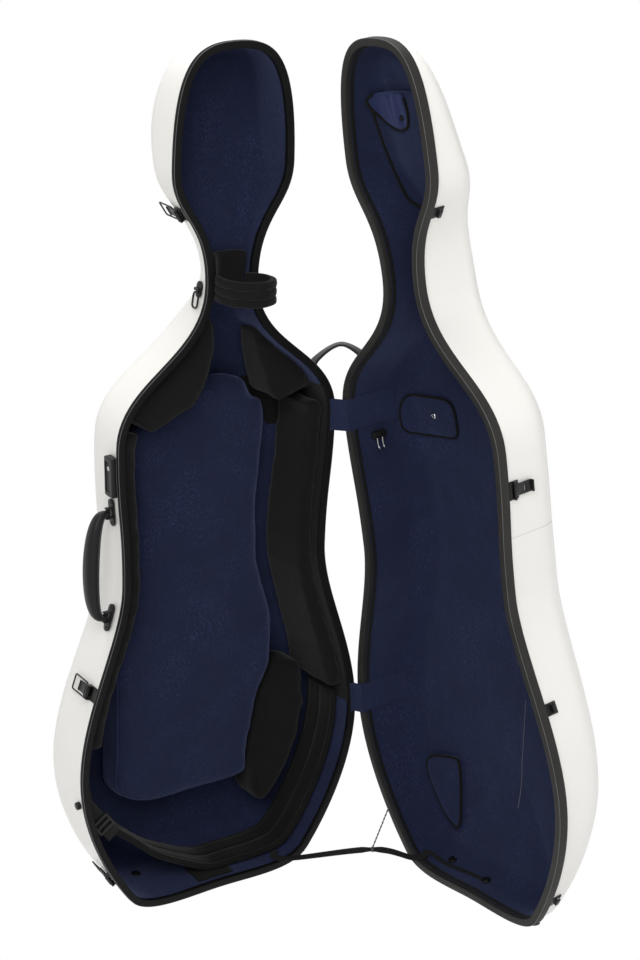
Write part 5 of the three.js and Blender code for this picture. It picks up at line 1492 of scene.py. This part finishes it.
def add_stay():
    knot = stay_edges[0].lerp(stay_edges[1], stay_knot_share)
    knot.z += stay_rise * MM
    held = [stay_point("base", 27, 27), stay_edges[0], knot, stay_edges[1], stay_point("lid", 27, 27)]
    path = resampled(curved(held, 14), 5 * MM)
    knot_index = min(range(len(path)), key=lambda k: (path[k] - knot).length)
    first, last = stay_way("base"), stay_way("lid")
    acrosses = [first.lerp(last, k / (len(path) - 1)) for k in range(len(path))]
    rings = flat_strip(path, acrosses, stay_width * MM, stay_thickness * MM)
    for k, ring in enumerate(rings):
        near = max(0, 1 - abs(k - knot_index) / stay_gather_points)
        middle = middle_of(ring)
        ring[:] = [middle.lerp(point, 1 - stay_gather * near) for point in ring]
    webbing = {"replaces": ["stay_strap"], "slot": "webbing"}
    strap = loft("stay_webbing", rings, black_webbing, None, capped=True, **webbing)
    length = lengths_along(path)[-1]
    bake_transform(strap)
    print("stay length", round(length, 4))
    return knot


stay_edges = [stay_point("base", 1.8, -1.8), stay_point("lid", 1.8, -1.8)]
stay_knot = add_stay()

# %% The elastic that gathers the stay
elastic_height = 84
strand_turn = 0.75
strand_reach = 0.62
strand_radius = 0.72
wrap_reach = 3.6
wrap_radius = 0.75


def add_elastic(knot):
    """Two strands twisted about each other, from the stay's middle up to the lid's trim."""
    top = to_lid @ inset_point(station_near(elastic_height, 1), rim_inner / 2, 1.3)
    low = knot + Vector((0, 0, (stay_thickness / 2 + 1.3) * MM))
    along = (top - low).normalized()
    side = along.orthogonal().normalized()
    other = along.cross(side)
    bm = bmesh.new()
    for start_turn in (0, math.pi):
        strand = []
        for k, point in enumerate(resampled([low, top], 1.6 * MM)):
            turn = start_turn + k * strand_turn
            strand.append(point + (side * math.cos(turn) + other * math.sin(turn)) * strand_reach * MM)
        add_tube(bm, strand, strand_radius, 8)
    elastic = {"replaces": ["stay_elastic"], "slot": "elastic"}
    strands = finish_piece(bm, "stay_elastic_strands", grey_elastic, None, **elastic)
    way = (stay_edges[1] - stay_edges[0]).normalized()
    across = way.orthogonal().normalized()
    upright = way.cross(across)
    bm = bmesh.new()
    for offset in (-1.4, 0.2, 1.8):
        centre = knot + way * offset * MM
        ring = [centre + (across * c + upright * s) * wrap_reach * MM for c, s in circle(16)]
        add_tube(bm, ring, wrap_radius, 8, closed=True)
    wrap = finish_piece(bm, "stay_elastic_wrap", grey_elastic, None, slot="elastic")
    for piece in (strands, wrap):
        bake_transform(piece)
    print("elastic length", round((top - low).length, 4))


add_elastic(stay_knot)

# %% Rear handle
rear_height = 806
rear_depths = {"base": 21, "lid": 36}
rear_width = 20
rear_thickness = 4.2
rear_lift = 1.6
rear_points = [(0, -12), (1, 6), (6, 24)]
rear_peak = (25, 5, 50)
# the strap's stitch rows: the section's corner and the way out of the face they lie on
rear_rows = {"front": (3, 1), "back": (5, 1), "inner_front": (13, -1), "inner_back": (11, -1)}


def wall_frame(half, station, depth, lift):
    """A matrix in metres on the outer wall: x up the case, y out of the wall, z deeper."""
    foot = wall_point(station, half, 0, depth)
    deep = (wall_point(station, half, 0, depth + 5) - foot).normalized()
    along = Vector((-station.normal.z, 0, station.normal.x))
    out = facing(deep.cross(along).normalized(), station.normal)
    up = facing(squared(along, deep), Vector((0, 0, 1)))
    return places[half] @ axes_at(foot + out * lift, up, out, deep, 1)


def add_rear_handle():
    station = station_near(rear_height, 1)
    frames = {half: wall_frame(half, station, rear_depths[half], rear_lift) for half in ways}
    runs = {}
    for half in ways:
        runs[half] = [frames[half] @ Vector((up, rear_thickness / 2 + out, 0)) for out, up in rear_points]
    peak = to_base @ Vector((station.origin.x + rear_peak[0], rear_peak[1], rear_height + rear_peak[2]))
    path = resampled(curved([*runs["base"], peak, *reversed(runs["lid"])], 12), 4 * MM)
    first, last = [(frames[half].to_3x3() @ Vector((0, 0, 1))).normalized() for half in ways]
    over = path[-1] - path[0]
    middle = facing(Vector((-over.y, over.x, 0)).normalized(), first)
    last = facing(last, middle)
    acrosses = []
    for k in range(len(path)):
        share = 2 * k / (len(path) - 1)
        acrosses.append(first.lerp(middle, share) if share < 1 else middle.lerp(last, share - 1))
    rings = flat_strip(path, acrosses, rear_width * MM, rear_thickness * MM)
    handle = {"replaces": ["rear_handle"], "slot": "handle"}
    pieces = [loft("rear_handle_strap", rings, hide_black, None, capped=True, **handle)]
    for name, (index, side) in rear_rows.items():
        row = []
        for ring in rings[2:-2]:
            outward = (ring[4] - ring[12]).normalized() * side
            row.append(ring[index].lerp(middle_of(ring), 0.12) + outward * 0.35 * MM)
        pieces.append(add_stitches(f"rear_handle_stitches_{name}", row, thread_grey, None, 2.4, 1.7, 0.26))
    for piece in pieces:
        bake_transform(piece)
    for half in ways:
        bm = bmesh.new()
        for up in (-7, 3):
            spot = frames[half] @ Matrix.Translation((up, rear_thickness, 0))
            extrude_rings(bm, turned_rings(spot, rivet_profile, 3.0, 1.3, 18))
        finish_piece(bm, f"rear_handle_rivets_{half}", coated_black, half)
    print("rear handle length", round(lengths_along(path)[-1], 4))


add_rear_handle()

# %% [markdown]
# ## Pockets, flap and small pieces in the lid
# The scroll pouch, the bow flap and the bow pocket are plush with a bound edge. Each is a
# pillow on the lining: its outline is laid on the lining's own surface, then drawn in and
# raised ring by ring to its middle.

# %% Pillows on a lining
lining_trees = {}
for half in ways:
    lining_mesh = bpy.data.objects[f"{half}_plush_lining"].data
    polygons = [tuple(p.vertices) for p in lining_mesh.polygons]
    lining_trees[half] = BVHTree.FromPolygons([v.co for v in lining_mesh.vertices], polygons)

outline_spacing = 4
outline_rounds = 7
least_fit = 0.3
# a pillow's section: the share of the way out from its middle, and the share of its thickness
pillow_edge = [(0, 0.0), (0.5, 0.0), (0.97, 0.05), (1.0, 0.3), (1.0, 0.6), (0.985, 0.85), (0.95, 1.0)]
pillow_crown = (0.88, 0.78, 0.66, 0.52, 0.38, 0.22, 0.1, 0)


def lining_depth(half, across, height):
    """How deep the lining's face lies at a place of the half, or None outside it."""
    origin = places[half] @ Vector((across, ways[half] * 10, height))
    hit = lining_trees[half].ray_cast(origin, deeper[half])[0]
    return None if hit is None else abs((places[half].inverted() @ hit).y)


def fitted(half, centre, point, least):
    """The point, drawn to the centre until the lining lies at a share of the panel's depth."""
    share = 1.0
    while share > least_fit:
        place = centre.lerp(point, share)
        depth = lining_depth(half, place.x, place.y)
        if depth is not None and depth >= least * (depth_at(half, place.y) - lining_face):
            return place
        share -= 0.01
    return centre.lerp(point, share)


def lifted(half, point, rise):
    depth = lining_depth(half, point.x, point.y) or 0
    return places[half] @ Vector((point.x, ways[half] * (depth - rise), point.y))


def lid_pillow(name, corners, floor, thickness, crown, material, rounding, least, **options):
    """A soft panel on the lid's lining from floor to thickness above it, and its outline."""
    points = resampled(rounded([Vector(c) for c in corners], rounding, 6), outline_spacing, closed=True)
    centre = middle_of(points)
    outline = relaxed([fitted("lid", centre, p, least) for p in points], outline_rounds)
    far = pillow_edge[-1][0]
    profile = pillow_edge + [(share, 1.0 + crown * (1 - (share / far) ** 2)) for share in pillow_crown]
    rings = []
    for share, up in profile:
        rings.append([lifted("lid", centre.lerp(p, share), floor + thickness * up) for p in outline])
    return loft(name, rings, material, "lid", **options), outline


def bound_edge(name, outline, rise, radius, below=None):
    """Binding along an outline, or along the part of it that lies below a height."""
    if below is not None:
        outline = [p for p in outline if p.y < below]
        gaps = [(p - outline[k - 1]).length for k, p in enumerate(outline)]
        start = gaps.index(max(gaps))
        outline = outline[start:] + outline[:start]
    path = [lifted("lid", p, rise) for p in outline]
    tube(name, path, radius, black_piping, "lid", closed=below is None)


def lid_frame(across, height, rise):
    """A matrix in millimetres above the lid's lining, with y towards the opening."""
    out, along = -deeper["lid"], turns["lid"] @ Vector((0, 0, 1))
    return axes_at(lifted("lid", Vector((across, height)), rise), out.cross(along), out, along)


# %% Scroll pouch
pouch_corners = [
    (-50, 1238), (7, 1238), (60, 1235), (77, 1229), (81, 1206), (82, 1170), (82, 1142), (79, 1120),
    (72, 1101), (62, 1084), (50, 1066), (20, 1052), (-30, 1062), (-58, 1095),
]
flap_corners = [
    (2, 1237), (60, 1235), (82, 1229), (81, 1212), (72, 1198), (60, 1188), (45, 1181), (28, 1180),
    (11, 1184), (2, 1204),
]
flap_folds = Vector((30, 95, 14))
pouch_bound_below = 1226
flap_bound_below = 1232
snap_profile = [(0, -0.5), (1, -0.5), (1, 0.2), (0.9, 0.55), (0.6, 0.7), (0.5, 0.95), (0.3, 1), (0, 0.85)]

soft = {"replaces": ["pouch"], "slot": "plush"}
pouch, outline = lid_pillow("scroll_pouch", pouch_corners, 0.4, 9, 0.15, navy_plush, 12, 0.1, **soft)
ripple(pouch, 0.9, 24.0)
bound_edge("scroll_pouch_binding", outline, 7.5, 2.6, pouch_bound_below)
soft = {"slot": "plush"}
# The flap wears the brighter copy of the navy plush: painted sheen.
flap, outline = lid_pillow("scroll_pouch_flap", flap_corners, 9.8, 2.6, 0.4, navy_painted_sheen, 10, 0.3, **soft)
ripple(flap, 1.6, flap_folds)
bound_edge("scroll_flap_binding", outline, 12.2, 2.2, flap_bound_below)
turned_piece("pouch_snap", lid_frame(19, 1200, 13.4), snap_profile, 4.2, 2.2, moulded_black, "lid")

# %% Bow flap and bow pocket
bow_flap_corners = [(58, 702), (166, 698), (168, 738), (160, 760), (70, 762), (60, 752)]
bow_pocket_corners = [
    (112, 171), (178, 160), (186, 142), (167, 118), (148, 93), (124, 70), (99, 56), (104, 104),
]
eyelet_profile = [
    (0.42, -0.5), (1, -0.5), (1, 0.3), (0.85, 0.85), (0.7, 1), (0.52, 0.85), (0.42, 0.3), (0.42, -0.5),
]

soft = {"replaces": ["bow_flap"], "slot": "plush"}
bow_flap, outline = lid_pillow("bow_flap_cover", bow_flap_corners, 0.4, 3.8, 0.3, navy_plush, 9, 0.8, **soft)
ripple(bow_flap, 0.6, 40.0)
bound_edge("bow_flap_binding", outline, 3.4, 1.9)
turned_piece("bow_flap_eyelet", lid_frame(104, 733, 5.6), eyelet_profile, 5.4, 2.2, bright_steel, "lid", 24)
soft = {"replaces": ["bow_pocket"], "slot": "plush"}
corners = bow_pocket_corners
bow_pocket, outline = lid_pillow("bow_pocket_cover", corners, 0.4, 11, 0.14, navy_plush, 7, 0.7, **soft)
ripple(bow_pocket, 1.0, 26.0)
bound_edge("bow_pocket_binding", outline, 9.5, 2.3)

# %% [markdown]
# ## Small trims
# A black seal strip lies inside the lid's trim, and the lid's side wall carries the seam of
# its mould as a fine line. Black cloth covers the hinge side's wall. Caps close the screw
# heads, the stay lies on the lid's lining up to its own cap, and a patch is sewn under the
# band. Fine light grey beads along the trims' edges are painted highlights.

# %% Seal strip inside the lid's trim
seal_depths = (8.6, 14)
seal_rises = (0.3, 1.4)
low, high = seal_depths
under, over = seal_rises
seal_section = [
    (low, under), (low, over), (low + 1.5, over + 0.5), (high - 1.5, over + 0.5), (high, over), (high, under),
]
rings = [[wall_point(s, "lid", lining_face + rise, depth) for s in stations] for depth, rise in seal_section]
loft("lid_seal_strip", placed([*rings, rings[0]], to_lid), black_plush, "lid")

# %% Mould seam on the lid's wall
seam_height = 626
seam_depths = (16, 101)
seam_steps = 24
seam_rise = 0.05


def add_wall_seam():
    station = station_near(seam_height, -1)
    fillet = eased(fillet_table, seam_height)
    straight = depth_at("lid", seam_height) - fillet
    path = []
    for k in range(seam_steps + 1):
        depth = between(seam_depths, k / seam_steps)
        if depth <= straight:
            path.append(to_lid @ wall_point(station, "lid", -seam_rise, depth))
        else:
            turn = math.asin(min((depth - straight) / fillet, 1))
            path.append(to_lid @ fillet_point(station, "lid", -seam_rise, turn))
    return tube("lid_mould_seam", path, 0.22, shell_seam, "lid", 6)


print("mould seam", len(add_wall_seam().data.polygons))

# %% Places on the lower end's lining
def floor_point(half, across, depth, rise):
    """On the lower end's inner wall: across from the middle, depth from the parting plane."""
    station = stations[0] if abs(across) < 1 else station_across(abs(across), 1 if across > 0 else -1)
    level = inner_inset(station, half, lining_face, depth) + rise
    return places[half] @ inset_point(station, level, ways[half] * depth)


def floor_frame(half, across, depth, rise):
    """A matrix in millimetres on the lower end's lining, with y standing out of it."""
    place = floor_point(half, across, depth, rise)
    along = (floor_point(half, across + 5, depth, rise) - place).normalized()
    out = squared((floor_point(half, across, depth, rise + 5) - place).normalized(), along)
    return axes_at(place, along, out, along.cross(out))


# %% Black cloth on the hinge side's wall, from the shoulder down to the band
wall_cloth_heights = (248, 800)
wall_cloth_depths = (4, 12, 20, 35, 50, 65, 80, 92)
tip_heights = (706, 800)
tip_reaches = (46, 120)
tip_steps = 11


def add_cloth(name, heights, ring_at):
    """A thin black cloth on the hinge side, with one ring for each station of its heights."""
    rings = [ring_at(s) for s in hinge_row if heights[0] < s.origin.z < heights[1]]
    cloth = loft(name, rings, black_plush, "base", capped=True, slot="foam")
    ripple(cloth, 0.3, 30.0)
    print(name, len(rings), "rings")


def wall_ring(station):
    face = [(inner_inset(station, "base", lining_face, d), d) for d in wall_cloth_depths]
    ring = [inset_point(station, level + 0.9, d) for level, d in face]
    ring += [inset_point(station, level - 0.4, d) for level, d in face[::-1]]
    return [to_base @ p for p in ring]


def tip_ring(station):
    """The shoulder pad's tip, which narrows down the panel."""
    start = inner_inset(station, "base", lining_face, wall_cloth_depths[-1]) + 4
    share = (station.origin.z - tip_heights[0]) / (tip_heights[1] - tip_heights[0])
    reach = max(between(tip_reaches, share), start + 4)
    spots = [inset_point(station, between((start, reach), k / tip_steps), 0) for k in range(tip_steps + 1)]
    marks = [Vector((spot.x, spot.z)) for spot in spots]
    return [lifted("base", m, 1.0) for m in marks] + [lifted("base", m, -0.4) for m in marks[::-1]]


add_cloth("hinge_wall_cloth", wall_cloth_heights, wall_ring)
add_cloth("shoulder_pad_tip", tip_heights, tip_ring)

# %% Caps over the screws of the feet
cap_profile = [(0, -0.6), (1, -0.6), (1, 0.2), (0.93, 0.6), (0.7, 0.9), (0.5, 0.72), (0.3, 0.9), (0, 1)]
caps = {
    "lid_screw_cap": ("lid", 106, 44, 0.2),
    "lid_stay_cap": ("lid", 6, 38, 1.8),
    "base_screw_cap": ("base", -114, 84, 0.2),
}
for name, place in caps.items():
    turned_piece(name, floor_frame(*place), cap_profile, 8, 2.6, moulded_black, place[0])
print("caps", len(caps))

# %% The stay inside the lid, up to its cap
laid_marks = [(147, 27, 3.4), (112, 31, 0.9), (76, 34, 0.8), (40, 37, 0.8), (2, 38, 0.8)]
laid_width_share = 0.6
path = resampled(curved([floor_point("lid", *mark) for mark in laid_marks], 8), 5 * MM)
rings = flat_strip(path, [deeper["lid"]] * len(path), stay_width * laid_width_share * MM, stay_thickness * MM)
loft("stay_webbing_laid", rings, black_webbing, "lid", capped=True, slot="webbing")
print("laid stay length", round(lengths_along(path)[-1], 4))

# %% Patch of black cloth sewn on the lower end's lining
# its corners are across and depth; its section is the share of the way out, and the rise
patch_corners = [(-35, 14), (35, 14), (35, 60), (-35, 60)]
patch_section = [(0, -0.4), (1, -0.4), (1, 0.5), (0.97, 0.9), (0.85, 1.0), (0.5, 1.0), (0, 1.0)]
outline = resampled(rounded([Vector(c) for c in patch_corners], 5, 5), 3, closed=True)
centre = middle_of(outline)
rings = []
for share, rise in patch_section:
    rings.append([floor_point("base", *centre.lerp(p, share), rise) for p in outline])
loft("band_patch", rings, black_plush, "base")

# %% A thin pale line laid on the lid's lining
pale_line_run = [Vector(mark) for mark in ((-42, 307), (-31, 220), (-20, 126))]
pale_line_path = [lifted("lid", p, 0.3) for p in resampled(curved(pale_line_run, 6), 6)]
tube("lid_pale_line", pale_line_path, 0.4, pale_line_grey, "lid", 6)

# %% Painted highlights: light grey beads along the trims' outer edges
highlight_beads = {
    "base_trim_bead_face": ("base", 0.3, face_gap + 0.4),
    "base_trim_bead_band": ("base", 0.15, band_depths["base"] - 0.1),
    "lid_trim_bead_face": ("lid", 0.3, face_gap + 0.4),
}
# Each bead is a painted highlight along one edge of a trim.
for name, (half, inset, depth) in highlight_beads.items():
    path = [places[half] @ inset_point(s, inset, ways[half] * depth) for s in stations]
    tube(name, path, 0.42, trim_painted_highlight, half, 6, closed=True)
print("highlight_beads", len(highlight_beads))

# %% [markdown]
# ## The camera, the floor and the light
# The camera stands where the photograph's did. Three large soft lamps and a pale world light
# the case evenly, so that each colour renders about as it is written.

# %% Camera
camera_place = Vector((-1773, -2666, 1819))
camera_right = Vector((0.8151, -0.5785, 0.0316))
camera_up = Vector((0.1696, 0.2905, 0.9417))
focal_pixels = 2309
picture_height = 960
sensor_height = 36.0


def add_camera():
    data = bpy.data.cameras.new("camera")
    data.sensor_fit = "VERTICAL"
    data.sensor_height = sensor_height
    data.sensor_width = sensor_height
    data.lens = focal_pixels / picture_height * sensor_height
    data.clip_end = 50
    right = (turns["base"] @ camera_right).normalized()
    up = squared(turns["base"] @ camera_up, right)
    camera = add_object("camera", data)
    camera.matrix_world = axes_at(to_base @ camera_place, right, up, right.cross(up), 1)
    bpy.context.scene.camera = camera
    print("lens", round(data.lens, 2), "mm")


add_camera()

# %% Floor and backdrop
floor_reach = 12.0
wall_behind = 4.5
# height and depth of the backdrop's bend and of its wall
backdrop_profile = [
    (0, wall_behind - 1.2), (0.1, wall_behind - 0.6), (0.4, wall_behind - 0.2),
    (1.0, wall_behind), (7.0, wall_behind),
]
white = (1, 1, 1, 1)


def pale_material():
    """Pale paper that camera, glossy and transmission rays see as white."""
    material = bpy.data.materials.new("pale_paper")
    material.use_nodes = True
    tree = material.node_tree
    tree.nodes.remove(tree.nodes["Principled BSDF"])
    where = node(tree, "ShaderNodeNewGeometry").outputs["Position"]
    tone = ranged(tree, noise_value(tree, where, 1.3), 0.3, 0.7, 0.86, 0.88)
    color = node(tree, "ShaderNodeCombineColor", {0: tone, 1: tone, 2: tone}).outputs[0]
    matt = node(tree, "ShaderNodeBsdfDiffuse", {"Color": color}).outputs[0]
    glow = node(tree, "ShaderNodeEmission", {"Color": white, "Strength": 1.0}).outputs[0]
    rays = node(tree, "ShaderNodeLightPath").outputs
    seen = maths(tree, "MAXIMUM", rays["Is Camera Ray"], rays["Is Glossy Ray"])
    seen = maths(tree, "MAXIMUM", seen, rays["Is Transmission Ray"])
    both = node(tree, "ShaderNodeMixShader", {0: seen, 1: matt, 2: glow})
    tree.links.new(both.outputs[0], tree.nodes["Material Output"].inputs["Surface"])
    return material


def add_floor():
    bm = bmesh.new()
    edges = [bm.edges.new([bm.verts.new((x, -floor_reach, 0)) for x in (-floor_reach, floor_reach)])]
    for z, y in backdrop_profile:
        fresh, edges = extruded(bm, edges)
        for vertex in fresh:
            vertex.co.y, vertex.co.z = y, z
    mesh = bpy.data.meshes.new("backdrop")
    bm.to_mesh(mesh)
    bm.free()
    mesh.shade_smooth()
    mesh.materials.append(pale_material())
    add_object("backdrop", mesh)


add_floor()

# %% Light
case_middle = Vector((0, 0, 0.65))
world_strength = 0.42
# place, size and power of each lamp
lamps = {
    "key_lamp": ((-2.2, -2.6, 2.9), 2.6, 95),
    "fill_lamp": ((2.6, -2.4, 1.6), 2.8, 15),
    "top_lamp": ((0.2, 0.6, 3.6), 2.4, 50),
}


def add_world():
    """An even pale light that the camera itself sees as white."""
    world = bpy.data.worlds.new("studio")
    world.use_nodes = True
    tree = world.node_tree
    rays = node(tree, "ShaderNodeLightPath").outputs
    soft = tree.nodes["Background"]
    soft.inputs["Color"].default_value = white
    soft.inputs["Strength"].default_value = world_strength
    seen = node(tree, "ShaderNodeBackground", {"Color": white, "Strength": 1.0}).outputs[0]
    both = node(tree, "ShaderNodeMixShader", {0: rays["Is Camera Ray"], 1: soft.outputs[0], 2: seen})
    tree.links.new(both.outputs[0], tree.nodes["World Output"].inputs["Surface"])
    bpy.context.scene.world = world


add_world()
for name, (place, size, power) in lamps.items():
    data = bpy.data.lights.new(name, "AREA")
    data.shape = "DISK"
    data.size = size
    data.energy = power
    lamp = add_object(name, data)
    lamp.location = place
    lamp.rotation_euler = (Vector(place) - case_middle).to_track_quat("Z", "Y").to_euler()
bpy.context.scene.view_settings.view_transform = "Standard"
print("lamps", len(lamps))
